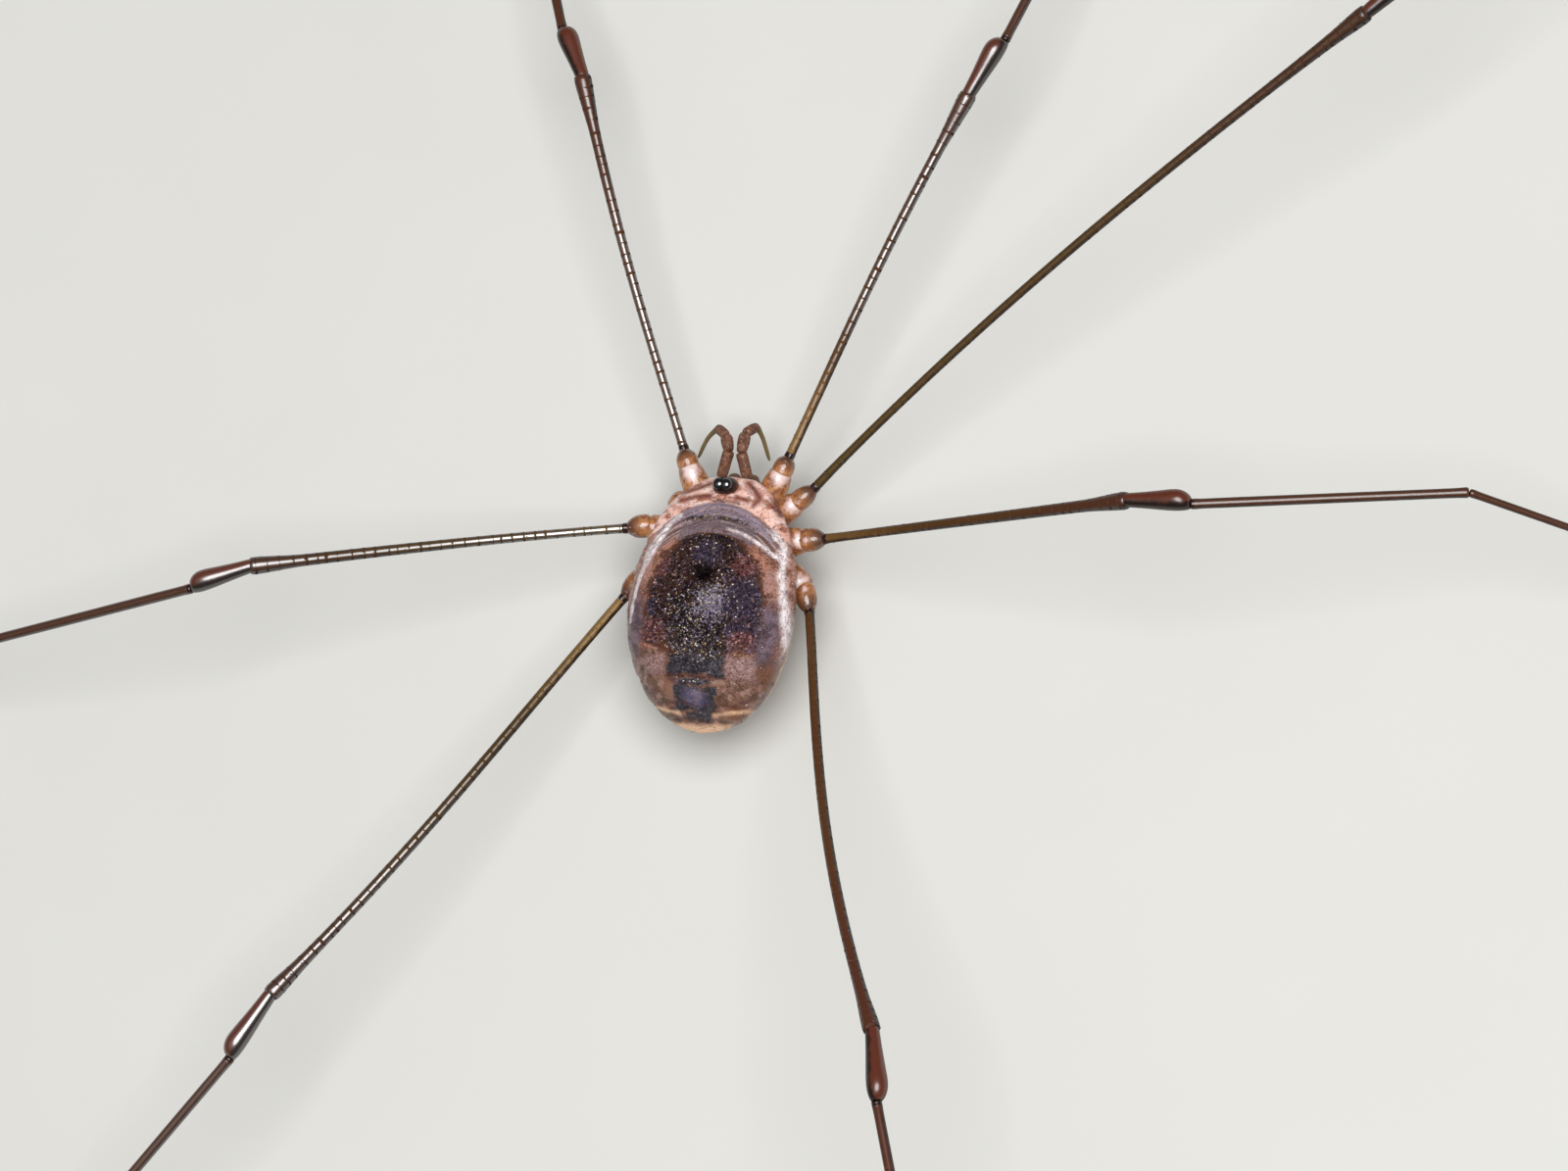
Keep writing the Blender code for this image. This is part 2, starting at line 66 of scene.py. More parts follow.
# %% Select, round off, note values, and give a finished piece to the frame
UP = Vector((0, 0, 1))


def only(piece=None):
    """Leaves nothing selected but this piece."""
    if bpy.context.mode != "OBJECT":
        bpy.ops.object.mode_set(mode="OBJECT")
    bpy.ops.object.select_all(action="DESELECT")
    if piece is not None:
        piece.select_set(True)
        bpy.context.view_layer.objects.active = piece


def smoothed(piece):
    """Applies one level of a subdivision surface to a piece."""
    only(piece)
    rounder = piece.modifiers.new("rounder", "SUBSURF")
    rounder.levels = rounder.render_levels = 1
    bpy.ops.object.modifier_apply(modifier=rounder.name)


def note(piece, name, values):
    """Notes one number for each point of a piece, or the same for all, for its material to read."""
    kept = piece.data.attributes.get(name) or piece.data.attributes.new(name, "FLOAT", "POINT")
    kept.data.foreach_set("value", np.ones(len(piece.data.vertices)) * values)


def settle(piece, finish, slot, *nodes, crease=50):
    """Gives a piece its finish, turns its millimetres to the shared frame's metres, and hands it over."""
    piece.data.materials.append(finish)
    only(piece)
    bpy.ops.object.transform_apply(location=True, rotation=True, scale=True)
    piece.data.transform(Matrix.Diagonal((MM, MM, MM, 1)) @ Matrix.Translation(HOME))
    bpy.ops.object.shade_smooth_by_angle(angle=math.radians(crease))
    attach(piece, "root")
    if nodes:
        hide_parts(*nodes)


print("pieces ride on the body root")

# %% A sphere, and a tube pulled up ring by ring


def sphere(name, segments, rings, radius=1.0, tilt=(0, 0, 0)):
    """A sphere round the animal's origin, whose poles are tilted by these degrees."""
    only()
    bpy.ops.mesh.primitive_uv_sphere_add(segments=segments, ring_count=rings, radius=radius,
                                         location=(0, 0, 0), rotation=[math.radians(turn) for turn in tilt])
    piece = bpy.context.object
    piece.name = piece.data.name = name
    bpy.ops.object.transform_apply(location=False, rotation=True, scale=False)
    return piece


def grow(name, rings, sides, length=1.0, girth=1.0, rounded=True):
    """A closed tube that stands on +Z. Each ring is (height, radius), and perhaps a shift towards +X."""
    only()
    radius = rings[0][1] * girth
    bpy.ops.mesh.primitive_circle_add(vertices=sides, radius=radius, fill_type="NGON", location=(0, 0, 0))
    piece = bpy.context.object
    piece.name = piece.data.name = name
    bpy.ops.object.mode_set(mode="EDIT")
    bpy.ops.mesh.select_all(action="SELECT")
    height = shift = 0.0
    for share, share_of_girth, *aside in rings:
        next_height, next_radius, next_shift = share * length, share_of_girth * girth, sum(aside)
        if next_height > height:
            step = (next_shift - shift, 0, next_height - height)
            bpy.ops.mesh.extrude_region_move(TRANSFORM_OT_translate={"value": step})
            size = next_radius / radius
            bpy.ops.transform.resize(value=(size, size, 1), center_override=(next_shift, 0, next_height))
        height, radius, shift = next_height, next_radius, next_shift
    bpy.ops.mesh.select_all(action="SELECT")
    bpy.ops.mesh.normals_make_consistent(inside=False)
    bpy.ops.object.mode_set(mode="OBJECT")
    if rounded:
        smoothed(piece)
    return piece


# %% Lay a tube on a path


def place_on(path, share):
    """The point at this share of a path's length, and the path's direction there."""
    at = min(max(share, 0.0), 1.0) * (len(path) - 1)
    i = min(int(at), len(path) - 2)
    part = at - i
    here = path[i + 1] - path[i]
    other = path[i] - path[i - 1] if part < 0.5 and i > 0 else here
    if part >= 0.5 and i < len(path) - 2:
        other = path[i + 2] - path[i + 1]
    weight = abs(part - 0.5)
    along = here.normalized() * (1 - weight) + other.normalized() * weight
    return path[i].lerp(path[i + 1], part), along.normalized()


def lay(piece, path, aside=UP, taper=None):
    """Bends a standing tube onto a path, with its +X side turned aside, and notes how far along it is."""
    top = max(v.co.z for v in piece.data.vertices)
    shares = [v.co.z / top for v in piece.data.vertices]
    for v, share in zip(piece.data.vertices, shares):
        centre, along = place_on(path, share)
        side = (aside - along * aside.dot(along)).normalized()
        size = taper(share) if taper else 1.0
        v.co = centre + (side * v.co.x + along.cross(side) * v.co.y) * size
    note(piece, "along", shares)


def evenly(points, count):
    """The same path as evenly spaced points."""
    reached = [0.0]
    for a, b in zip(points, points[1:]):
        reached.append(reached[-1] + (b - a).length)
    even = []
    for n in range(count):
        at = reached[-1] * n / (count - 1)
        i = min(len(points) - 2, max(k for k in range(len(reached)) if reached[k] <= at + 1e-9))
        even.append(points[i].lerp(points[i + 1], (at - reached[i]) / (reached[i + 1] - reached[i])))
    return even


def rounded_path(points, count):
    """A smooth curve through a few points, as evenly spaced points."""
    ends = [points[0] * 2 - points[1]] + list(points) + [points[-1] * 2 - points[-2]]
    curve = []
    for a, b, c, d in zip(ends, ends[1:], ends[2:], ends[3:]):
        for k in range(8):
            t = k / 8
            curve.append(0.5 * (2 * b + (c - a) * t + (2 * a - 5 * b + 4 * c - d) * t ** 2
                                + (3 * b - a - 3 * c + d) * t ** 3))
    return evenly(curve + [points[-1]], count)


print("tubes and spheres can be made")


# %% [markdown]
# ## Helpers for materials
# A harvestman's armour is chitin: a clear, hard, waxy plastic of insects and spiders with brown
# pigment in it and below it. Its index of refraction is about 1.55. Patterns are set in real
# millimetres, so each one starts from Object coordinates turned to the animal's own frame.

# %% Colours, nodes and a pattern space in millimetres
CHITIN_IOR = 1.55


def linear(colour):
    """A #RRGGBB colour as the shader's linear numbers."""
    parts = [int(colour[i:i + 2], 16) / 255 for i in (1, 3, 5)]
    return (*[p / 12.92 if p <= 0.04045 else ((p + 0.055) / 1.055) ** 2.4 for p in parts], 1.0)


def add(kind, settings=None, links=None):
    """Adds a node to the material being made, with its settings and the outputs that feed it."""
    made = tree.nodes.new(kind)
    inputs = {socket.name for socket in made.inputs}
    for name, value in (settings or {}).items():
        if isinstance(name, int) or name in inputs:
            made.inputs[name].default_value = value
        else:
            setattr(made, name, value)
    for name, source in (links or {}).items():
        tree.links.new(source, made.inputs[name])
    return made


def new_material(name):
    """Starts a material of chitin. The helpers below work on the one that was started last."""
    global tree, shader, space
    made = bpy.data.materials.new(name)
    made.use_nodes = True
    tree = made.node_tree
    shader = tree.nodes["Principled BSDF"]
    shader.inputs["IOR"].default_value = CHITIN_IOR
    place = add("ShaderNodeTexCoord")
    space = add("ShaderNodeMapping", {"Scale": (1 / MM,) * 3, "Location": [-v for v in HOME]},
                {"Vector": place.outputs["Object"]}).outputs[0]
    return made


def sockets(values):
    """Sets sockets of the shader, each to a number or to a node's output."""
    for name, value in values.items():
        if isinstance(value, float):
            shader.inputs[name].default_value = value
        else:
            tree.links.new(value, shader.inputs[name])


# %% Patterns, and the ways to mix them


def grain(size, detail=3.0, rough=0.6, stretch=(1, 1, 1)):
    """Noise whose lumps are about this many millimetres wide."""
    spread = add("ShaderNodeMapping", {"Scale": [1 / (size * s) for s in stretch]}, {"Vector": space})
    made = add("ShaderNodeTexNoise", {"Scale": 1.0, "Detail": detail, "Roughness": rough},
               {"Vector": spread.outputs[0]})
    return made.outputs["Fac"]


def read(name):
    """A number that was noted on the piece."""
    return add("ShaderNodeAttribute", {"attribute_name": name}).outputs["Fac"]


def steps(value, low, high):
    """A value turned into a soft step from 0 at low to 1 at high."""
    made = add("ShaderNodeMapRange",
               {"interpolation_type": "SMOOTHSTEP", "From Min": low, "From Max": high}, {"Value": value})
    return made.outputs[0]


def total(first, second, share=1.0):
    """first + share * second."""
    made = add("ShaderNodeMath", {"operation": "MULTIPLY_ADD", 1: share}, {0: second, 2: first})
    return made.outputs[0]


def product(first, second):
    return add("ShaderNodeMath", {"operation": "MULTIPLY"}, {0: first, 1: second}).outputs[0]


def blend(factor, first, second):
    """Mixes two colours. Each may be a hex colour or another node's output."""
    made = add("ShaderNodeMix", {"data_type": "RGBA"}, {0: factor})
    for socket, colour in ((6, first), (7, second)):
        if isinstance(colour, str):
            made.inputs[socket].default_value = linear(colour)
        else:
            tree.links.new(colour, made.inputs[socket])
    return made.outputs[2]


def paint(colour, *coats):
    """Lays coats over a colour. Each is (pattern, where it starts, where it covers, its colour)."""
    for pattern, low, high, over in coats:
        colour = blend(steps(pattern, low, high), colour, over)
    return colour


def relief(height, depth, strength=1.0):
    """Bumps of this many millimetres."""
    bump = add("ShaderNodeBump", {"Strength": strength, "Distance": depth * MM}, {"Height": height})
    tree.links.new(bump.outputs[0], shader.inputs["Normal"])


print("materials read millimetres, index of refraction of chitin", CHITIN_IOR)

# %% [markdown]
# ## The camera
# The photograph looks down on the back from 180 mm, a little from the animal's right and from
# behind, with the head at the top and turned 7.4 degrees to the right. A long lens keeps the legs
# straight. The camera is set first, so that every piece below can be held against the picture.

# %% Place the camera
TO_RIGHT = math.radians(17)  # how far the camera stands over to the animal's right
BACKWARD = math.radians(10)  # and behind it
ROLL = math.radians(7.4)
DISTANCE = 180.0
PICTURE_WIDTH = 32.0  # of the plane through the body
SENSOR = 36.0
PICTURE = (1600, 1195)  # pixels
BODY_AT = (728, 614)  # where the middle of the body is in them
PIXELS = PICTURE[0] / PICTURE_WIDTH  # in a millimetre
toward = Vector((-math.sin(TO_RIGHT) * math.cos(BACKWARD), math.sin(BACKWARD),
                 math.cos(TO_RIGHT) * math.cos(BACKWARD))).normalized()
head_up = Vector((0, -1, 0))
head_up = (head_up - toward * head_up.dot(toward)).normalized()
level = head_up.cross(toward)
picture_right = level * math.cos(ROLL) + head_up * math.sin(ROLL)
picture_up = head_up * math.cos(ROLL) - level * math.sin(ROLL)
aim = Vector((0, 0, 2.2)) + picture_right * (PICTURE[0] / 2 - BODY_AT[0]) / PIXELS
aim -= picture_up * (PICTURE[1] / 2 - BODY_AT[1]) / PIXELS

only()
bpy.ops.object.camera_add()
camera = bpy.context.object
camera.name = "camera"
turn = Matrix((picture_right, picture_up, toward)).transposed()
camera.matrix_world = Matrix.Translation((aim + toward * DISTANCE + HOME) * MM) @ turn.to_4x4()
camera.data.sensor_width = SENSOR
camera.data.lens = SENSOR * DISTANCE / PICTURE_WIDTH
camera.data.clip_start, camera.data.clip_end = 0.01, 5.0
bpy.context.scene.camera = camera
print("camera at, mm:", [round(v, 1) for v in aim + toward * DISTANCE], "lens", camera.data.lens)

# %% [markdown]
# ## The outline of the body
# The skin follows the same lines as the solids: two half ellipses seen from above, a back line, an
# edge line and a belly line seen from the side, and slices that arch forward at the middle of the
# back. A sphere gives a clean start for it, because its rings become those slices, and both its
# poles end up where they don't show, at the face and at the rear tip.

# %% Lines of the body
HALF_WIDTH = 1.75
WIDEST_Y = 0.20
FRONT_REACH = 2.95
REAR_REACH = 2.54
FRONT_Y = -2.62
REAR_Y = 2.72
BACK_LINE = ((-2.62, 2.12), (-2.30, 2.42), (-1.60, 2.74), (-0.50, 3.20), (0.40, 3.38), (1.50, 3.20),
             (2.30, 2.72), (2.72, 2.22))
EDGE_LINE = ((-2.62, 1.95), (-1.50, 2.34), (0.00, 2.52), (1.50, 2.42), (2.72, 2.12))
BELLY_LINE = ((-2.62, 1.70), (-2.00, 1.60), (0.10, 1.56), (0.62, 1.42), (1.20, 1.24), (2.00, 1.42),
              (2.55, 1.80), (2.72, 2.02))
CARAPACE_END_Y = -1.56
ARCH = 0.55
ARCH_ENDS_Y = 0.80


def line_at(points, at):
    """The value at `at` of a smooth curve through (position, value) points."""
    spots = np.array([p[0] for p in points])
    values = np.array([p[1] for p in points])
    slopes = np.gradient(values, spots)
    at = np.clip(at, spots[0], spots[-1])
    i = np.clip(np.searchsorted(spots, at, side="right") - 1, 0, len(spots) - 2)
    span = spots[i + 1] - spots[i]
    t = (at - spots[i]) / span
    return (values[i] * (1 + 2 * t) * (1 - t) ** 2 + slopes[i] * span * t * (1 - t) ** 2
            + values[i + 1] * t * t * (3 - 2 * t) - slopes[i + 1] * span * t * t * (1 - t))


def half_width(y):
    """Half the body's width at y, seen from above."""
    reach = np.where(y > WIDEST_Y, REAR_REACH, FRONT_REACH)
    return HALF_WIDTH * np.sqrt(np.clip(1 - ((y - WIDEST_Y) / reach) ** 2, 0, 1))


def arch_at(y):
    """How far the sides of the slice at y lie behind its middle."""
    front = ARCH * (y - FRONT_Y) / (CARAPACE_END_Y - FRONT_Y)
    rear = ARCH * (ARCH_ENDS_Y - y) / (ARCH_ENDS_Y - CARAPACE_END_Y)
    return np.clip(np.where(y < CARAPACE_END_Y, front, rear), 0, None)


print("the body is widest at y =", WIDEST_Y, "and", 2 * HALF_WIDTH, "mm wide there")


# %% [markdown]
# Each ring of the sphere gets a station from front to rear: a flat face with a rounded corner,
# then even slices, then ever closer ones round the rear. The back isn't smooth: folds run between
# its plates, a small pit marks where the muscles inside are fixed, and a pale bead runs along the
# left side above the legs.

# %% Where the skin's folds, grooves and beads run, in millimetres seen from above
RINGS = 120
SEGMENTS = 144
FOLDS = (  # y, depth, half width
    (-2.02, 0.018, 0.05), (-1.80, 0.025, 0.05), (-1.56, 0.045, 0.06), (-1.30, 0.02, 0.05),
    (-0.60, 0.012, 0.07), (0.05, 0.012, 0.07), (0.62, 0.012, 0.07), (1.31, 0.020, 0.05),
    (1.74, 0.040, 0.045), (1.90, 0.026, 0.04), (2.25, 0.050, 0.045), (2.53, 0.045, 0.04))
RIDGES = ((-1.93, 0.42, 0.06, 1.0), (-1.76, 0.30, 0.04, 0.7))  # y, curve, width, share of the height
RIDGE_HEIGHT = 0.022
GROOVE_DEPTH, GROOVE_WIDTH = 0.035, 0.055
BEAD_HEIGHT, BEAD_WIDTH = 0.028, 0.05
LUMP_HEIGHT = 0.018
PIT = (0.02, -0.39, 0.10, 0.17)  # x, y, depth, radius
LEFT_BEAD = ((0.80, -1.66), (1.00, -1.46), (1.18, -1.14), (1.31, -0.80), (1.40, -0.26), (1.46, 0.25),
             (1.49, 0.66))
RIGHT_LINE = ((-0.30, -1.42), (-0.62, -1.34), (-0.96, -1.17), (-1.22, -1.00), (-1.44, -0.88))
RIGHT_RIM = ((-1.20, -1.47), (-1.44, -1.18), (-1.51, -0.90), (-1.54, -0.60), (-1.63, -0.20),
             (-1.73, 0.20), (-1.77, 0.60), (-1.76, 1.05), (-1.68, 1.35))
GROOVES = (((-0.40, -2.52), (-0.60, -2.36), (-0.74, -2.18), (-0.68, -2.00)), ((-0.30, -2.14), (-0.52, -2.10)),
           ((0.36, -2.46), (0.58, -2.32), (0.84, -2.22)), ((0.28, -2.14), (0.60, -2.10), (0.92, -2.00)),
           ((-0.98, -2.38), (-1.04, -2.12), (-1.22, -1.86)))
LEAN_TO_RIGHT = 0.065  # of the rear body, as the animal holds it
FACE_END, CORNER_END, ROUNDING = 0.07, 0.12, 0.80  # shares of the rings, from front to rear
ROUND_FROM_Y = 1.75
CORNER_DEPTH = 0.10
print("folds:", len(FOLDS), "grooves:", len(GROOVES))

# %% Stations, and distances on the back


def station(t):
    """(y, width share) of the ring at this share of the way from front to rear."""
    if t < FACE_END:
        part = t / FACE_END
        return FRONT_Y - 0.04 * (1 - part ** 2), 0.9 * part
    if t < CORNER_END:
        corner = math.pi / 2 * (t - FACE_END) / 0.05
        return FRONT_Y + CORNER_DEPTH * (1 - math.cos(corner)), 0.9 + 0.1 * math.sin(corner)
    if t < ROUNDING:
        return FRONT_Y + CORNER_DEPTH + (ROUND_FROM_Y - FRONT_Y - CORNER_DEPTH) * (t - CORNER_END) / 0.68, 1.0
    round_off = math.sin(math.pi / 2 * (t - ROUNDING) / 0.20)
    return ROUND_FROM_Y + (REAR_Y - ROUND_FROM_Y) * round_off, math.sqrt(max(0.0, 1 - round_off ** 16))


def from_line(x, y, points):
    """How far each spot lies from a line on the back, seen from above."""
    nearest = np.full(np.shape(x), 9.0)
    for (ax, ay), (bx, by) in zip(points, points[1:]):
        length = (bx - ax) ** 2 + (by - ay) ** 2
        t = np.clip(((x - ax) * (bx - ax) + (y - ay) * (by - ay)) / length, 0, 1)
        nearest = np.minimum(nearest, np.hypot(x - ax - t * (bx - ax), y - ay - t * (by - ay)))
    return nearest


def fade(distance, width):
    """1 on a line, and falling off smoothly over this width."""
    return np.exp(-(distance / width) ** 2)


def arc(x, y, middle, curve, width):
    """A line across the back, y = middle + curve * x * x, that fades over this width."""
    return fade(y - middle - curve * x ** 2, width)


print("rings at y:", [round(station(t)[0], 2) for t in (0, FACE_END, CORNER_END, ROUNDING, 1)])

# %% Pull a sphere onto the body
skin = sphere("body_skin", SEGMENTS, RINGS, tilt=(90, 0, 0))
ball = np.array([v.co for v in skin.data.vertices])
ring = np.rint(np.arccos(np.clip(-ball[:, 1], -1, 1)) / math.pi * RINGS).astype(int)
ring_y, ring_size = np.array([station(k / RINGS) for k in range(RINGS + 1)]).T
y = ring_y[ring]
size = ring_size[ring]
turns = np.arctan2(ball[:, 2], ball[:, 0])
across, up = np.cos(turns), np.sin(turns)
below = up < 0
across = np.where(below, np.sign(across) * np.abs(across) ** 0.8, across)  # the belly is fuller
up = np.where(below, -np.abs(up) ** 0.8, up)
side_y = y + arch_at(y)
edge = line_at(EDGE_LINE, side_y)
rise = np.where(below, edge - line_at(BELLY_LINE, y), line_at(BACK_LINE, y) - edge)
x = half_width(side_y) * size * across
plan_y = y + arch_at(y) * across ** 2
z = edge + rise * size * up
print("rings and segments:", RINGS, SEGMENTS)

# %% Press the folds in, and raise the ridges and beads
above = np.where(below, 0, 1)
inward = sum(depth * fade(y - at, half) for at, depth, half in FOLDS) * np.where(below, 0.6, 1.0) * size
px, py, depth, radius = PIT
inward += above * depth * np.exp(-((x - px) ** 2 + (plan_y - py) ** 2) / radius ** 2)
bead = fade(from_line(x, plan_y, LEFT_BEAD), BEAD_WIDTH)
bead += 0.7 * fade(from_line(x, plan_y, RIGHT_LINE), BEAD_WIDTH)
inward -= above * BEAD_HEIGHT * np.clip(bead, 0, 1)
ridges = sum(share * arc(x, plan_y, at, curve, width) for at, curve, width, share in RIDGES)
inward -= above * RIDGE_HEIGHT * (ridges * (np.abs(x) < 1.2))
groove = np.max([fade(from_line(x, plan_y, line), GROOVE_WIDTH) for line in GROOVES], axis=0)
inward += above * GROOVE_DEPTH * groove
lumps = np.array([noise.noise(Vector(p) * 2.6) + 0.5 * noise.noise(Vector(p) * 7.0)
                  for p in zip(x, plan_y, z)])
lobed = 1 + 1.8 * np.clip((-1.75 - plan_y) / 0.2, 0, 1)  # the carapace is lumpier
inward += LUMP_HEIGHT * lumps * lobed * size
lean = LEAN_TO_RIGHT * np.clip((plan_y + 1.9) / 1.2, 0, 1)
spots = np.stack([x - across * inward - lean, plan_y, z - up * inward], axis=1)
skin.data.vertices.foreach_set("co", spots.ravel())
skin.data.update()
smoothed(skin)
print("skin:", len(skin.data.polygons), "faces,", round(x.max() * 2, 2), "mm wide")

# %% [markdown]
# ## The markings
# The pattern is soft in the animal: pigment lies in the skin in patches with ragged edges. An image
# could carry it, but a few named outlines say it better. Each outline gives every point of the skin
# a mask, 0.5 on the outline and rising inwards, and the material later roughens its edge with noise
# and mixes the colour in. Three masks share one colour attribute.

# %% Where the markings lie, in millimetres seen from above
AXIS_X = -0.08  # the pattern's middle line lies a little to the right
ARC_AXIS_X = 0.02  # and that of the arcs less so
BACK_COLOURS_REACH_DOWN = 0.20  # below the edge of the back, down the flanks
SADDLE_AXIS = ((-1.3, 0.00), (-0.9, -0.05), (-0.4, -0.08), (0.3, -0.14), (0.9, -0.20), (1.33, -0.14))  # y, x
SADDLE = (  # y, half width
    (-1.30, 0.0), (-1.22, 0.40), (-1.08, 0.62), (-0.90, 0.76), (-0.70, 0.93), (-0.40, 1.06), (-0.10, 1.14),
    (0.30, 1.23), (0.80, 1.28), (1.00, 1.27), (1.14, 1.05), (1.26, 0.72))
SADDLE_FRONT, SADDLE_REAR = -1.30, 1.33
BLOCKS = ((1.30, 1.70, 0.60), (1.74, 1.88, 0.30), (1.92, 2.36, 0.44), (2.36, 2.53, 0.27))  # y, y, half width
TAN_BLOCKS = ((1.34, 1.70, 0.56, 1.05), (1.28, 1.72, -1.28, -0.70))  # from and to in y, then in x
# where painted shade runs along the folds between the rear plates
SEAMS = (1.74, 2.24, 2.52)
# Ovals: x, y, half width, half length
ORANGE_PATCHES = ((-1.62, 1.62, 0.34, 0.62), (0.95, 2.30, 0.30, 0.22), (-0.95, 2.32, 0.35, 0.22))
BLOTCHES = ((-1.50, 0.62, 0.20, 0.52), (1.37, 0.80, 0.20, 0.80), (-1.42, 1.10, 0.18, 0.26))
RUSTY = ((0.95, -0.60, 0.25, 0.45), (1.00, 0.95, 0.55, 0.45), (-1.05, 1.02, 0.42, 0.36),
         (-0.84, -0.66, 0.36, 0.36))
VIOLET = ((-0.92, 0.10, 0.50, 0.62), (0.0, -0.85, 0.42, 0.38), (1.15, 0.45, 0.35, 0.45),
          (-1.00, 0.80, 0.45, 0.35))
SIDE_PATCHES = ((-1.36, -0.32, 0.17, 0.42), (1.22, -0.42, 0.10, 0.5), (1.30, 1.55, 0.15, 0.4))
LILAC = (AXIS_X, 2.12, 0.42, 0.26)
# an oval of lilac crystal specks on the saddle: a painted sheen
CRYSTALS_AND_SHEEN = (-0.30, 0.22, 0.50, 0.62)
print("blocks:", len(BLOCKS), "seams:", len(SEAMS))

# %% Distances from outlines, as masks
x, y, z = np.array([v.co for v in skin.data.vertices]).T
off_axis, off_arc = x - AXIS_X, x - ARC_AXIS_X
on_back = np.clip((z - line_at(EDGE_LINE, y) + BACK_COLOURS_REACH_DOWN) / 0.10 + 0.5, 0, 1)


def inside(distance, soft=0.25):
    """A mask from a distance that is positive inside an outline."""
    return np.clip(0.5 + distance / (2 * soft), 0, 1) * on_back


def in_oval(cx, cy, rx, ry):
    """How far inside an oval each spot lies."""
    return (1 - np.hypot((x - cx) / rx, (y - cy) / ry)) * min(rx, ry)


def clouds(ovals, gain=2.0):
    """A mask that is full in the middle of each oval and fades to its edge."""
    return np.max([np.clip(gain * in_oval(*oval) / min(oval[2:]), 0, 1) for oval in ovals], axis=0)


print("share of the skin on the back:", round(float(on_back.mean()), 3))

# %% Masks of the saddle, the blocks and the patches
from_axis = np.abs(x - np.interp(y, *zip(*SADDLE_AXIS)))
saddle_width = np.interp(y, *zip(*SADDLE), left=-0.2, right=0.9)
saddle_end = SADDLE_REAR - 0.22 * np.clip((from_axis - 0.4) / 0.3, 0, 1)  # with its corners cut
saddle = inside(np.minimum(np.minimum(saddle_width - from_axis, saddle_end - y), (y - SADDLE_FRONT) * 1.5))
block = inside(np.max([np.minimum(half - np.abs(off_axis), np.minimum(y - a, b - y) + 0.015)
                       for a, b, half in BLOCKS], axis=0), 0.20)
tan_block = inside(np.max([np.minimum(np.minimum(x - c, d - x), np.minimum(y - a, b - y))
                           for a, b, c, d in TAN_BLOCKS], axis=0), 0.12)
blotch = inside(np.max([in_oval(*oval) for oval in BLOTCHES], axis=0), 0.20)
crystals_and_sheen = np.clip(1.5 * in_oval(*CRYSTALS_AND_SHEEN) / CRYSTALS_AND_SHEEN[3], 0, 1)
# painted shade: the pit is painted near black, over its dimple
pit = np.exp(-(((x - PIT[0] + 0.04) / 0.25) ** 2 + ((y - PIT[1]) / 0.23) ** 2) ** 1.4)
fore = np.clip(0.5 + (-1.72 + 0.22 * off_axis ** 2 - y) / 0.30, 0, 1)
rear = np.clip(0.5 + (y - 1.22) / 0.50, 0, 1)
print("share of the skin under the saddle:", round(float((saddle > 0.5).mean()), 3))

# %% Masks of the arcs, the pale lines, the wrinkles and the painted shade in the folds
grey_arc = 0.90 * arc(off_arc, y, -1.93, 0.42, 0.07) * (np.abs(off_arc) < 1.15)
grey_arc += arc(off_arc, y, -1.77, 0.34, 0.06) * (np.abs(off_arc) < 1.2)
dark_arc = arc(off_arc, y, -1.655, 0.20, 0.045) * np.clip((0.80 - np.abs(off_arc)) * 5, 0, 1)
dark_arc += 0.6 * arc(off_axis, y, -2.03, 0.30, 0.03) * (np.abs(off_axis + 0.02) < 0.30)
band = inside(np.minimum(np.minimum(y + 1.60 - 0.16 * off_axis ** 2, -1.22 - y + 0.25 * off_axis ** 2),
                         0.80 - np.abs(off_axis)), 0.12)
# pale bead and rim lines: a pale margin, and a painted highlight where they widen on the left and along the right
# rim
pale = fade(from_line(x, y, LEFT_BEAD), 0.050 + 0.080 * fade(y + 0.95, 0.45))
pale += 0.7 * fade(from_line(x, y, RIGHT_LINE), 0.05)
from_rim = from_line(x, y, RIGHT_RIM)
pale += (0.65 * fade(from_rim, 0.11) + 0.35 * fade(from_rim, 0.04)) * np.clip((1.5 - y) / 0.8, 0, 1)
# the grooves again, where painted shade darkens them
groove = np.max([fade(from_line(x, y, line), 0.07) for line in GROOVES], axis=0)
arc_y = y - 0.40 * off_axis ** 2
wrinkled = (np.clip((arc_y + 2.02) / 0.10, 0, 1) * np.clip((-1.30 - arc_y) / 0.30, 0, 1)
            * np.clip((1.5 - np.abs(x)) / 0.3, 0, 1))
wander = np.array([noise.noise(Vector((px * 2.2, py * 2.2, 0.0))) for px, py in zip(x, y)])
# painted shade: a dark line along each fold between plates
fold_shade = np.max([fade(y - at + 0.03 * x ** 2 + 0.05 * wander, 0.030) for at in SEAMS], axis=0)
fold_shade *= 0.6 * np.clip(0.75 + 1.2 * wander, 0, 1) * on_back
rear_rim = 1.2 * arc(x, y, 2.74, -0.16, 0.14)
rear_rim += 0.60 * arc(x, y, 2.43, -0.17, 0.050) * np.clip((np.abs(off_axis) - 0.28) / 0.08, 0, 1)
print("share of the skin under pale lines:", round(float((pale > 0.5).mean()), 3))

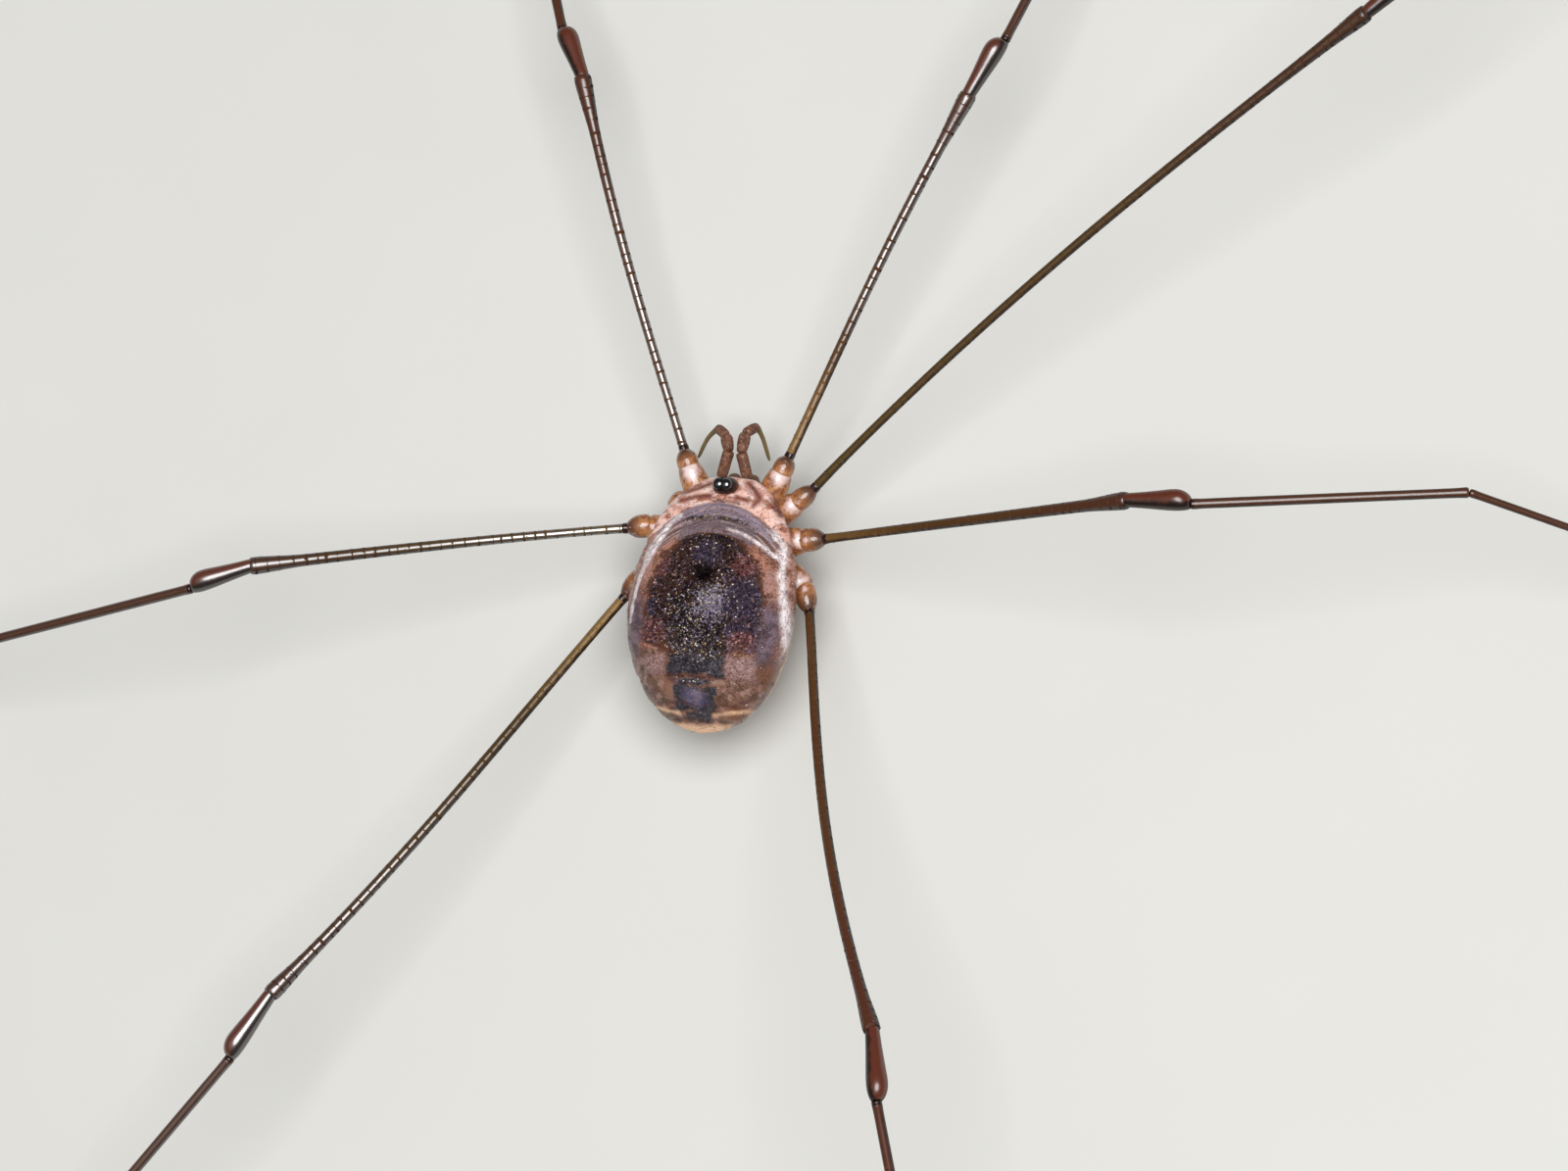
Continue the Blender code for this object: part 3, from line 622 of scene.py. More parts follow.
# %% Note the masks on the skin
MASKS = {
    "marks_a": {"saddle": saddle, "block": block, "blotch": blotch},
    "marks_b": {"grey_arc": grey_arc, "dark_arc": dark_arc, "band": band},
    "marks_c": {"pale": pale * on_back, "fore": fore, "rear": rear},
    "marks_d": {"fold_shade": fold_shade, "rear_rim": rear_rim, "back": on_back},
    "marks_e": {"rusty": clouds(RUSTY), "violet": clouds(VIOLET), "crystals_and_sheen": crystals_and_sheen},
    "marks_f": {"pit": pit, "groove": groove, "side_patch": clouds(SIDE_PATCHES, 1.6)},
    "marks_g": {"wrinkled": wrinkled, "arc": arc_y + 3.0, "tan_block": tan_block},
    "marks_h": {"lilac": clouds([LILAC], 1.4), "orange": clouds(ORANGE_PATCHES)},
}
for name, parts in MASKS.items():
    channels = [np.clip(mask, 0, 3) for mask in parts.values()]
    channels += [np.ones(len(x))] * (4 - len(channels))
    noted = skin.data.attributes.new(name, "FLOAT_COLOR", "POINT")
    noted.data.foreach_set("color", np.stack(channels, axis=1).ravel())
print("masks:", sum(len(parts) for parts in MASKS.values()))

# %% [markdown]
# ## The skin's material: pigmented, granular chitin over soft tissue
# The colours are mixed from the ground up: pinkish orange-brown, a paler and rosier carapace, tan
# at the rear, then grey arcs, the dark saddle with its violet and rusty clouds, the blocks behind
# it and the pale lines, which carry painted highlights in places. Painted shade darkens the pit, the
# grooves and the folds between plates, and a painted sheen of lilac specks lies on the saddle. The
# surface is beset with grains 0.04 to 0.07 mm wide, which is why it sparkles instead of shining.

# %% Patterns of the skin
WRINKLE_WIDTH = 0.085
GRAIN_WIDTH = 0.060
skin_finish = new_material("pigmented granular chitin")
masks = {}
for name, parts in MASKS.items():
    colour = add("ShaderNodeAttribute", {"attribute_name": name}).outputs["Color"]
    masks.update(zip(parts, add("ShaderNodeSeparateColor", {}, {0: colour}).outputs))
fine = grain(0.045, 4)
mottle = grain(0.22, 4)
cloud = grain(0.55, 3)
other = grain(0.30, 3, 0.5, (1.3, 0.8, 1.0))
speck = grain(0.06, 2, 0.7)


def patch(name, ragged, soft):
    """A marking's mask with a ragged edge."""
    middle = 0.5 + ragged / 2
    return steps(total(masks[name], mottle, ragged), middle - soft, middle + soft)


arc_mm = add("ShaderNodeMath", {"operation": "MULTIPLY", 1: 1 / WRINKLE_WIDTH}, {0: masks["arc"]}).outputs[0]
wrinkle = add("ShaderNodeTexNoise", {"noise_dimensions": "1D", "Scale": 1.0, "Detail": 2.0},
              {"W": total(arc_mm, cloud, 1.2)}).outputs["Fac"]
print("skin patterns are as fine as", WRINKLE_WIDTH, "and", GRAIN_WIDTH, "mm")

# %% Colours of the skin
ground = paint("#744636", (mottle, 0.40, 0.62, "#AA7460"), (fine, 0.52, 0.66, "#C69A84"))
carapace = paint("#DAA090", (cloud, 0.40, 0.60, "#FACCBE"), (mottle, 0.50, 0.62, "#FADED6"),
                 (other, 0.52, 0.66, "#AA6C56"))
tan = paint("#583A2C", (cloud, 0.42, 0.60, "#845E4C"), (mottle, 0.50, 0.62, "#987468"),
            (other, 0.55, 0.68, "#603C3A"))
pink_tan = paint("#7C5A54", (fine, 0.40, 0.60, "#A07E7A"))
streaks = paint("#6E524A", (wrinkle, 0.40, 0.60, "#AE9292"))
dark = paint("#1A1114", (cloud, 0.42, 0.58, "#3A241E"))
dark = blend(patch("violet", 0.6, 0.35), dark, "#342A3A")
dark = blend(patch("rusty", 0.9, 0.3), dark, "#583230")
bright_speck = blend(patch("rusty", 0.5, 0.4), "#4E3E42", "#96686A")
# painted sheen: lilac specks over the saddle's middle
sheen_speck = total(total(masks["crystals_and_sheen"], speck, 3.4), mottle, 0.8)
dark = paint(dark, (speck, 0.54, 0.66, bright_speck), (speck, 0.44, 0.36, "#0C0609"),
             (sheen_speck, 2.50, 3.20, "#8E8498"))
halo = steps(total(total(masks["saddle"], other, 1.1), speck, 0.7), 1.05, 1.30)
slate = paint("#18151A", (mottle, 0.42, 0.62, "#2F2A33"), (speck, 0.52, 0.68, "#5C525E"))
slate = blend(patch("lilac", 0.9, 0.35), slate, paint("#4C4460", (other, 0.40, 0.60, "#6E6070")))
mauve = paint("#523F47", (other, 0.40, 0.60, "#74606C"))
# the pale lines' colour: pale margin and painted highlight
ivory_and_highlight = paint("#D4C4C4", (mottle, 0.40, 0.60, "#F6ECEE"), (fine, 0.52, 0.68, "#AC8A84"))
belly = paint("#B08B6B", (mottle, 0.40, 0.60, "#CBB091"))
LAYERS = (  # from the ground up
    (patch("fore", 0.3, 0.12), carapace), (patch("rear", 0.4, 0.15), tan),
    (patch("tan_block", 0.5, 0.25), pink_tan), (patch("orange", 1.1, 0.5), "#74462F"),
    # painted shade in the carapace's grooves
    (patch("side_patch", 1.0, 0.4), "#A47A70"), (masks["groove"], "#7E4434"),
    (patch("wrinkled", 0.5, 0.40), streaks), (patch("grey_arc", 0.5, 0.45), "#8E7C88"),
    (patch("band", 0.25, 0.12), "#776469"), (masks["dark_arc"], "#2A1C18"), (halo, "#55301F"),
    # painted shade: near black in the pit
    (patch("saddle", 0.80, 0.12), dark), (masks["pit"], "#060304"), (patch("block", 0.90, 0.14), slate),
    # painted shade along the folds between plates
    (patch("blotch", 0.90, 0.30), mauve), (masks["fold_shade"], "#4E2218"),
    # pale lines: pale margin and painted highlight
    (patch("rear_rim", 0.8, 0.35), "#E6BA96"), (patch("pale", 0.80, 0.40), ivory_and_highlight),
)
surface = ground
for where, colour in LAYERS:
    surface = blend(where, surface, colour)
print("layers of colour on the skin:", len(LAYERS))

# %% Gloss and relief of the skin
cells = add("ShaderNodeTexVoronoi", {"Scale": 1 / GRAIN_WIDTH}, {"Vector": space}).outputs["Distance"]
creases = product(wrinkle, masks["wrinkled"])
relief(total(total(steps(cells, 0.45, 0.10), fine, 0.8), creases, 1.6), 0.030)
sockets({"Base Color": blend(masks["back"], belly, surface), "Roughness": steps(fine, 0.55, -0.05),
         "Specular IOR Level": blend(masks["saddle"], "#999999", "#333333"),
         "Subsurface Weight": 0.12, "Subsurface Scale": 0.2 * MM})
print("nodes in the skin's material:", len(tree.nodes))

# %% [markdown]
# ## Grains of the back
# The saddle glitters with golden and white grains, thickest at its rear half, along the dark arc and
# between the blocks; the white of the palest is partly a painted glint. Bump alone can't catch the
# light like that, so they are real: one small faceted bead, modelled once, and a copy of it for each
# grain, all joined in one mesh.

# %% One bead, copied many times


def in_order(piece):
    """A smoothed piece's faces, by the point each had before: Blender's own order varies from run to run."""
    return sorted(piece.data.polygons,
                  key=lambda face: (min(face.vertices), *[round(c, 3) for c in face.center]))


def scatter(name, model, places):
    """One mesh with a copy of a small model at each place: (spot, up, size, shade, rust)."""
    base = np.array([v.co for v in model.data.vertices])
    faces = [tuple(p.vertices) for p in model.data.polygons]
    points, polygons = [], []
    for spot, up_way, size, *_ in places:
        spin = Matrix.Rotation(random.uniform(0, 2 * math.pi), 3, "Z")
        turned = base @ np.array(up_way.to_track_quat("Z", "Y").to_matrix() @ spin).T
        first = len(points) * len(base)
        polygons += [tuple(first + i for i in face) for face in faces]
        points.append(turned * size + np.array(spot))
    mesh = bpy.data.meshes.new(name)
    mesh.from_pydata(np.concatenate(points).tolist(), [], polygons)
    made = bpy.data.objects.new(name, mesh)
    bpy.context.scene.collection.objects.link(made)
    for place_item, noted in ((3, "shade"), (4, "rust")):
        note(made, noted, np.repeat([place[place_item] for place in places], len(base)))
    return made


only()
bpy.ops.mesh.primitive_ico_sphere_add(subdivisions=1, radius=1.0, location=(0, 0, 0))
bead_model = bpy.context.object
bpy.ops.object.mode_set(mode="EDIT")
bpy.ops.transform.resize(value=(1.15, 0.9, 0.8), center_override=(0, 0, 0))
bpy.ops.transform.vertex_random(offset=0.25, seed=3)
bpy.ops.object.mode_set(mode="OBJECT")
print("faces of one bead:", len(bead_model.data.polygons))

# %% Choose where the grains of the back sit
GRAINS = 5200
# pale beads along the carapace's margins; their pale shade is a painted glint on real bumps
MARGIN_GRAINS = 44
MARGINS = (((-0.74, -2.52), (-1.02, -2.28), (-1.22, -1.98), (-1.42, -1.62)),
           ((0.62, -2.56), (0.92, -2.30), (1.12, -1.96)), ((-0.80, -2.15), (-1.02, -1.85)))
random.seed(7)
skin_faces = in_order(skin)
centres = np.array([face.center for face in skin_faces])
facing = np.array([face.normal for face in skin_faces])
areas = np.array([face.area for face in skin_faces])
vertex = np.array([min(face.vertices) for face in skin_faces])  # one that stands for the face
fx, fy = centres[:, 0] - AXIS_X, centres[:, 1]
# more grains, and paler ones, under the painted sheen
thick = 0.55 + 1.1 * np.clip((fy + 0.1) / 0.9, 0, 1) * fade(fx, 0.75) + 0.8 * crystals_and_sheen[vertex]
thick *= 1 - 0.95 * pit[vertex]
weight = areas * np.clip((saddle[vertex] - 0.25) * 4, 0, 1) * thick
weight += areas * (dark_arc[vertex] > 0.35) * 2.2
weight += areas * (np.abs(fy - 1.80) < 0.06) * (np.abs(fx) < 0.45) * 1.6  # between the blocks
weight += areas * (on_back[vertex] > 0.9) * 0.04
places = []
for i in random.choices(range(len(weight)), weights=weight.tolist(), k=GRAINS):
    # how pale each grain is: the palest are partly painted glints
    bright = random.random() ** (3.0 - 0.6 * min(1.0, thick[i]))
    rust = abs(fx[i]) * 1.2 - 0.35 + (0.35 if fy[i] < -0.2 else 0.0) + random.uniform(-0.3, 0.3)
    places.append((centres[i] + np.array([random.uniform(-0.012, 0.012) for _ in range(3)]),
                   Vector(facing[i]), random.uniform(0.008, 0.013) + 0.008 * bright, bright,
                   min(1.0, max(0.0, rust))))
margin = fade(np.min([from_line(centres[:, 0], fy, line) for line in MARGINS], axis=0), 0.05)
weight = areas * margin * (on_back[vertex] > 0.3)
for i in random.choices(range(len(weight)), weights=weight.tolist(), k=MARGIN_GRAINS):
    places.append((centres[i], Vector(facing[i]), random.uniform(0.012, 0.024), 0.93, 1.0))
back_grains = scatter("back_grains", bead_model, places)
print("grains on the back:", len(places))

# %% Colour the grains
grain_finish = new_material("golden chitin grain")
shade = read("shade")
gold = paint("#17120E", (shade, 0.10, 0.60, "#4C3F2C"), (shade, 0.60, 0.92, "#A89064"))
rusty = paint("#180E12", (shade, 0.10, 0.60, "#4E2C26"), (shade, 0.60, 0.90, "#A87C6C"))
# the palest grains, shade above 0.90, turn white: painted glints
colour = paint(gold, (read("rust"), 0.35, 0.65, rusty), (grain(0.09, 2), 0.54, 0.60, "#6E6480"),
               (shade, 0.90, 0.99, "#D8CCC8"))
sockets({"Base Color": colour, "Roughness": 0.20})
relief(grain(0.01), 0.002, 0.5)
settle(back_grains, grain_finish, "opisthosoma", crease=12)
print("finished:", back_grains.name)

# %% [markdown]
# ## The eye mound and the eyes
# The two eyes sit on a mound in the middle of the carapace and look out to the sides. All of it is
# black and glossy as wet tar, and brown only at its foot. The mound starts as a sphere whose lower
# half spreads into the carapace, and a furrow is pressed along its middle.

# %% Model the mound
MOUND_HALF = Vector((0.235, 0.175, 0.27))
MOUND_CENTRE = Vector((0.0, -2.37))
FOOT_HEIGHT = 0.13  # how far the brown reaches up
ground_z = float(line_at(BACK_LINE, MOUND_Y))
mound = sphere("eye_mound", 48, 32)
for v in mound.data.vertices:
    foot = 1 + 0.35 * max(0.0, 0.25 - v.co.z) ** 1.5
    furrow = 0.10 * math.exp(-(v.co.x / 0.16) ** 2) * max(0.0, v.co.z)
    lump = (1 + 0.03 * noise.noise(v.co * 5)) * foot
    wide, deep = [math.copysign(abs(part) ** 0.75, part) for part in v.co.xy]
    v.co = Vector((MOUND_CENTRE.x + wide * MOUND_HALF.x * lump, MOUND_CENTRE.y + deep * MOUND_HALF.y * lump,
                   ground_z + 0.03 + (v.co.z - furrow) * MOUND_HALF.z))
mound_finish = new_material("black polished chitin")
rise_from_foot = add("ShaderNodeSeparateXYZ", {}, {0: space}).outputs["Z"]
foot_mask = steps(total(rise_from_foot, grain(0.05), 0.10), ground_z + FOOT_HEIGHT, ground_z + 0.05)
sockets({"Base Color": blend(foot_mask, "#0B0707", "#5B3021"), "Roughness": 0.30, "Specular IOR Level": 0.25})
relief(grain(0.035), 0.006, 0.5)
settle(mound, mound_finish, "eye", "ocularium")
print("eye mound", round(2 * MOUND_HALF.x, 2), "mm wide")

# %% Model the eyes
EYE_RADIUS = 0.130
EYE_AT = Vector((0.076, 0.0, 0.196))  # from the mound's foot
EYE_FLATTENING = 0.75
SIGN = {"left": 1, "right": -1}  # of x
eye_finish = new_material("black corneal lens")
sockets({"Base Color": blend(grain(0.08), "#050405", "#0D090B"), "Roughness": 0.08, "Coat Weight": 1.0,
         "Coat IOR": 1.8, "Coat Roughness": 0.14})
for side, sign in SIGN.items():
    eye = sphere("eye_lens_" + side, 40, 24, EYE_RADIUS, tilt=(0, sign * 55, 0))
    eye.data.transform(Matrix.Diagonal((1.0, 1.0, EYE_FLATTENING, 1.0)))
    eye_at = Vector((MOUND_CENTRE.x + sign * EYE_AT.x, MOUND_CENTRE.y, ground_z + EYE_AT.z))
    eye.data.transform(Matrix.Translation(eye_at))
    settle(eye, eye_finish, "eye", "eye_" + side)
print("eyes", 2 * EYE_RADIUS, "mm across")

# %% [markdown]
# ## Where the legs are
# The joints of every leg follow from the same lengths and angles as the solids, so the thin shells
# drawn here run through the middle of the thicker CAD tubes. Left and right are listed apart,
# because the animal holds them differently. The second left leg is lost.

# %% Lengths and angles of the legs
FEMUR_START = {1: (1.12, -3.14, 1.95), 2: (1.73, -2.53, 1.95), 3: (2.10, -1.44, 1.95), 4: (1.98, -0.01, 1.95)}
COXA_ROOT = {1: (0.66, -2.12, 1.60), 2: (0.72, -1.82, 1.60), 3: (0.80, -1.34, 1.60), 4: (0.95, -0.95, 1.60)}
TROCHANTER_LENGTH = {1: 0.32, 2: 0.44, 3: 0.42, 4: 0.52}
CAD_FLOOR_HEIGHT = 0.26 * math.cos(math.pi / 8)  # of the CAD tube's middle, where it lies on the floor
LENGTHS = {  # femur, patella, tibia, metatarsus, tarsus
    1: (8.17, 1.20, 6.20, 7.20, 12.0),
    2: (15.27, 1.60, 12.5, 10.5, 22.0),
    3: (7.81, 1.30, 5.50, 8.00, 12.5),
    4: (11.0, 1.50, 8.80, 11.5, 16.0),
}
POSE = {  # (heading, rise) of femur, patella and tibia, heading of the metatarsus, curl
    ("left", 1): ((21.4, 7.0), (31.0, -10.0), (22.8, -12.0), 25.0, 42.0),
    ("left", 3): ((104.1, 17.0), (114.0, 3.0), (104.5, -15.0), 108.0, -38.0),
    ("left", 4): ((148.4, 12.0), (153.5, 3.0), (141.5, -11.0), 144.0, -44.0),
    ("right", 1): ((23.0, 9.0), (27.5, 3.0), (17.0, -13.0), 20.0, 46.0),
    ("right", 2): ((48.8, 13.0), (47.5, 3.0), (51.0, -12.5), 54.0, 48.0),
    ("right", 3): ((84.3, 24.0), (88.2, 3.0), (80.7, -14.0), 101.0, -36.0),
    ("right", 4): ((157.2, 26.0), (164.4, 15.0), (167.0, -22.0), 163.0, -46.0),
}
BOWS = {  # how far a femur bows to the front, or to the axis, and where its bow peaks: 1 for its middle
    ("left", 1): (-0.11, 1.1), ("left", 3): (0.045, 0.8), ("left", 4): (-0.13, 1.4), ("right", 1): (0.10, 1.2),
    ("right", 2): (0.30, 0.85), ("right", 3): (0.0, 1.0), ("right", 4): (-0.33, 1.1),
}
BASE_SHIFT = {("right", 3): 0.075}  # towards the picture's top, of the femur's root
KNEE_SHIFT = {("right", 1): (0.16, 0.26)}  # outwards, of the patella's two ends


print("legs:", len(POSE))

# %% Work out the legs' middle lines


def on_side(point, side):
    """A point of the left side, or its mirror image on the right."""
    return Vector((SIGN[side] * point[0], point[1], point[2]))


def heading(degrees, rise, side):
    """The way that a segment points: turned out from the front, and up from level."""
    turn, lift = math.radians(degrees), math.radians(rise)
    return on_side((math.sin(turn) * math.cos(lift), -math.cos(turn) * math.cos(lift), math.sin(lift)), side)


def leg_paths(side, number):
    """The middle lines of a leg's free segments, from the body outwards."""
    femur, patella, tibia, metatarsus, curl = POSE[side, number]
    lengths = LENGTHS[number]
    joints = [on_side(FEMUR_START[number], side)]
    for way, length in zip((femur, patella, tibia), lengths):
        joints.append(joints[-1] + heading(*way, side) * length)
    for joint, shift in zip(joints[1:3], KNEE_SHIFT.get((side, number), ())):
        joint += heading(*femur, side) * shift
    fall = math.degrees(math.asin((CAD_FLOOR_HEIGHT - joints[-1].z) / lengths[3]))
    joints.append(joints[-1] + heading(metatarsus, fall, side) * lengths[3])
    count = round(lengths[4] / 0.9)
    tarsus = [joints[-1]]
    for i in range(1, count + 1):
        turn = metatarsus + curl * ((i - 0.5) / count) ** 1.5
        tarsus.append(tarsus[-1] + heading(turn, 0.0, side) * (lengths[4] / count))
    aside = (joints[1] - joints[0]).cross(UP).normalized()
    bow, peak = BOWS[side, number]
    bow *= SIGN[side]
    shift = picture_up * BASE_SHIFT.get((side, number), 0.0)
    thigh = [joints[0].lerp(joints[1], k / 24) + aside * bow * math.sin(math.pi * (k / 24) ** peak)
             + shift * (1 - k / 24) for k in range(25)]
    return {"femur": thigh, "patella": [joints[1], joints[2]], "tibia": [joints[2], joints[3]],
            "metatarsus": [joints[3], joints[4]], "tarsus": tarsus}


def leg_root(side, number):
    """The coxa's inner end, its outer end, and the joint where the femur starts, in line with the trochanter."""
    joint, root = on_side(FEMUR_START[number], side), on_side(COXA_ROOT[number], side)
    joint += picture_up * BASE_SHIFT.get((side, number), 0.0)
    turn = POSE.get((side, number), POSE["right", number])[0][0]
    return root, joint - heading(turn, 8.0, side) * TROCHANTER_LENGTH[number], joint


legs = {key: leg_paths(*key) for key in POSE}
worst = 0.0
for (side, number), paths in legs.items():
    for segment, path in paths.items():
        low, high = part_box(f"leg_{side}_{number}_{segment}")
        for point in path:
            spot = (point + HOME) * MM
            worst = max(worst, *[max(a - s, s - b, 0.0) for a, s, b in zip(low, spot, high)])
print("the paths leave the CAD boxes by at most", round(worst / MM, 3), "mm, half the gap at the joints")

# %% [markdown]
# ## Coxae: the hips
# The coxae are fused to the body and can't move. Each is a swollen, amber cone, a little flattened,
# and its wall is thin enough to let pale tissue shine through in the middle. That pale spot is set
# on the side that faces the camera and the flash, so it is also a painted highlight. They could be
# cut out of the body skin, but as swellings of their own they keep the creases between them sharp.

# %% Model the coxae
COXA_RINGS = ((0.0, 0.80), (0.06, 0.95), (0.35, 1.05), (0.65, 1.0), (0.84, 0.90), (0.94, 0.78),
              (0.985, 0.62), (1.0, 0.40))
STUB_RINGS = ((0.0, 0.60), (0.06, 0.85), (0.35, 1.05), (0.60, 1.05), (0.78, 0.90), (0.90, 0.62), (0.96, 0.30))
STUB_LENGTH = 0.80  # of a whole coxa
COXA_RADIUS = {1: 0.29, 2: 0.29, 3: 0.31, 4: 0.35}
LOST_LEG = ("left", 2)
# how wide each pale spot is: pale tissue, and a painted highlight on the side facing the camera
TISSUE_HIGHLIGHT_RADIUS = {("left", 1): 0.42, ("right", 1): 0.40, ("right", 4): 0.48, ("left", 3): 0.12, ("left", 2): 0.10}
USUAL_TISSUE_HIGHLIGHT_RADIUS = 0.36
OVERLAP = 0.06  # of two parts at a joint
# grains on the hips, whose pale shade is a painted glint on real bumps
HIP_GRAINS = (8, (0.010, 0.020), 0.93)  # how many on a piece, their sizes and their shade
grain_places = []


def sprinkle(piece, count, sizes, shade, top=0.3):
    """Picks spots for tiny grains on the upper side of a piece."""
    piece.data.update()
    faces = [face for face in in_order(piece) if face.normal.z > top]
    for face in random.choices(faces, k=count):
        grain_places.append((np.array(face.center), face.normal.copy(), random.uniform(*sizes), shade, 1.0))


def tissue_highlight_on(piece, centre, radius):
    """Marks a pale spot, partly pale tissue that shines through and partly a painted highlight: 1 at the centre, 0
    from the radius on.
    """
    note(piece, "tissue_highlight", [max(0.0, 1 - (v.co - centre).length / radius) for v in piece.data.vertices])


coxae = []
for side in SIGN:
    for number in FEMUR_START:
        root, end, joint = leg_root(side, number)
        lost = (side, number) == LOST_LEG
        way = (end - root).normalized()
        length = (end - root).length * (STUB_LENGTH if lost else 1.0) + OVERLAP
        coxa = grow(f"coxa_{side}_{number}", STUB_RINGS if lost else COXA_RINGS, 24, length, COXA_RADIUS[number])
        for v in coxa.data.vertices:
            v.co *= 1 + 0.02 * noise.noise(v.co * 4)
        lay(coxa, [root, root + way * length], way.cross(UP))
        # the pale spot lies towards the camera: pale tissue and a painted highlight
        tissue_highlight_on(coxa, end - way * 0.10 + toward * 0.26, TISSUE_HIGHLIGHT_RADIUS.get((side, number), USUAL_TISSUE_HIGHLIGHT_RADIUS))
        sprinkle(coxa, *HIP_GRAINS)
        coxae.append(coxa)
print("coxae:", len(coxae), "one of them a healed stub")

# %% Colour the coxae
amber = new_material("amber chitin, thin and waxy")
mottle = grain(0.16, 4)
fine = grain(0.04, 3)
# the pale spot's mask, of tissue and painted highlight, with a mottled edge; it turns the amber to #E6CCC8
tissue_highlight_mask = total(read("tissue_highlight"), mottle, 0.7)
darker_tip = total(read("tip"), mottle, 0.6)
colour = paint("#7E441E", (mottle, 0.38, 0.62, "#B0743E"), (fine, 0.55, 0.72, "#CC9C74"),
               (tissue_highlight_mask, 0.62, 1.15, "#E6CCC8"), (darker_tip, 0.50, 1.25, "#4E280E"))
sockets({"Base Color": colour, "Roughness": steps(fine, 0.80, 0.15), "Coat Weight": 1.0,
         "Coat Roughness": 0.07, "Subsurface Weight": 0.25, "Subsurface Scale": 0.25 * MM})
relief(total(fine, mottle, 1.6), 0.016, 0.8)
for coxa in coxae:
    settle(coxa, amber, "prosoma")
print("amber covers the coxae, and later the trochanters")

# %% [markdown]
# ## Trochanters
# Between hip and thigh sits a short, bulging ring that turns in the hip. It is the glossiest and
# most orange part of the animal. It narrows to a black ring where the thigh starts.

# %% Model the trochanters and the black rings
TROCHANTER_RINGS = ((0.0, 0.72), (0.04, 0.90), (0.20, 1.0), (0.50, 1.0), (0.72, 0.86), (0.87, 0.64),
                    (0.96, 0.48), (1.0, 0.36))
TROCHANTER_RADIUS = {1: 0.23, 2: 0.225, 3: 0.25, 4: 0.235}
for side, number in legs:
    root, end, joint = leg_root(side, number)
    way = (joint - end).normalized()
    name = f"leg_{side}_{number}_trochanter"
    start, finish = end - way * OVERLAP, joint + way * 0.03
    bulb = grow(name + "_shell", TROCHANTER_RINGS, 24, (finish - start).length, TROCHANTER_RADIUS[number])
    lay(bulb, [start, finish], way.cross(UP))
    # a small painted highlight on the trochanter's side towards the camera
    tissue_highlight_on(bulb, end + toward * 0.30, 0.16)
    note(bulb, "tip", [at.value for at in bulb.data.attributes["along"].data])
    sprinkle(bulb, *HIP_GRAINS)
    settle(bulb, amber, "trochanter", name)
print("trochanters:", len(legs))

# %% Model the black rings
RING_RINGS = ((0.0, 0.075), (0.02, 0.100), (0.06, 0.112), (0.10, 0.108), (0.15, 0.110), (0.18, 0.098),
              (0.20, 0.085))
black_joint = new_material("black joint chitin")
sockets({"Base Color": blend(grain(0.06), "#0E0706", "#341A10"), "Roughness": 0.22})
relief(grain(0.03), 0.006, 0.5)
for (side, number), paths in legs.items():
    root, out = paths["femur"][0], (paths["femur"][1] - paths["femur"][0]).normalized()
    band_ring = grow(f"leg_{side}_{number}_femur_ring", RING_RINGS, 20)
    for v in band_ring.data.vertices:
        v.co.xy *= 1 + 0.10 * noise.noise(v.co * 9 + root)
    lay(band_ring, [root - out * 0.05, root + out * 0.15], out.cross(UP))
    settle(band_ring, black_joint, "leg")
print("black rings:", len(legs))

# %% [markdown]
# ## The legs
# A femur is golden brown at its root, thickens and darkens towards the knee and ends in a collar.
# The patella is short, reddish and humped on its upper side, and the thin tibia leaves it low,
# from a black socket. The metatarsus is thinner still, and the tarsus is a long whip of dozens of
# tiny links that can wind round a stem. All are round tubes of dark, polished chitin, so a single
# bright line runs along each of them, broken by rows of tiny teeth.

# %% The leg's material
CUT_SPACING = 0.24
leg_chitin = new_material("dark brown polished chitin")
streak = grain(0.20, 3)
fine = grain(0.05, 4)
wavering = total(read("along"), streak, 0.25)
golden = blend(read("gold"), "#4A3610", "#8C6C3C")
colour = paint(golden, (wavering, 0.10, 0.48, "#46300F"), (wavering, 0.60, 1.05, "#402410"),
               (fine, 0.60, 0.76, "#6E5024"))
colour = blend(read("shade"), colour, "#5E281A")
# painted shade: the tube's sides, seen edge on, are darker than its middle
painted_side_shade = paint("#261706", (wavering, 0.05, 0.60, "#1A0C06"))
colour = paint(colour, (total(read("flank"), streak, 0.30), 0.33, 0.50, painted_side_shade))
cuts = add("ShaderNodeTexVoronoi",
           {"voronoi_dimensions": "1D", "feature": "DISTANCE_TO_EDGE", "Scale": 1 / CUT_SPACING},
           {"W": total(read("reach"), fine, 0.06)}).outputs["Distance"]
cut = product(steps(total(cuts, streak, 0.6), 0.40, 0.33), read("teeth"))
sockets({"Base Color": colour, "Roughness": total(steps(fine, 1.35, -0.75), cut, 0.4),
         "Coat Weight": product(steps(cut, 1.0, 0.0), read("polish")), "Coat Roughness": 0.25,
         "Coat IOR": 2.8, "Specular IOR Level": 0.20})
relief(total(total(grain(0.13, 2), fine, 0.3), cut, -1.0), 0.010, 0.8)
print("nodes in the legs' material:", len(tree.nodes))

# %% Profiles of the segments, in millimetres
GIRTH = {1: (0.095, 0.024), 2: (0.086, 0.026), 3: (0.094, 0.040), 4: (0.098, 0.026)}  # femur's, and its gain


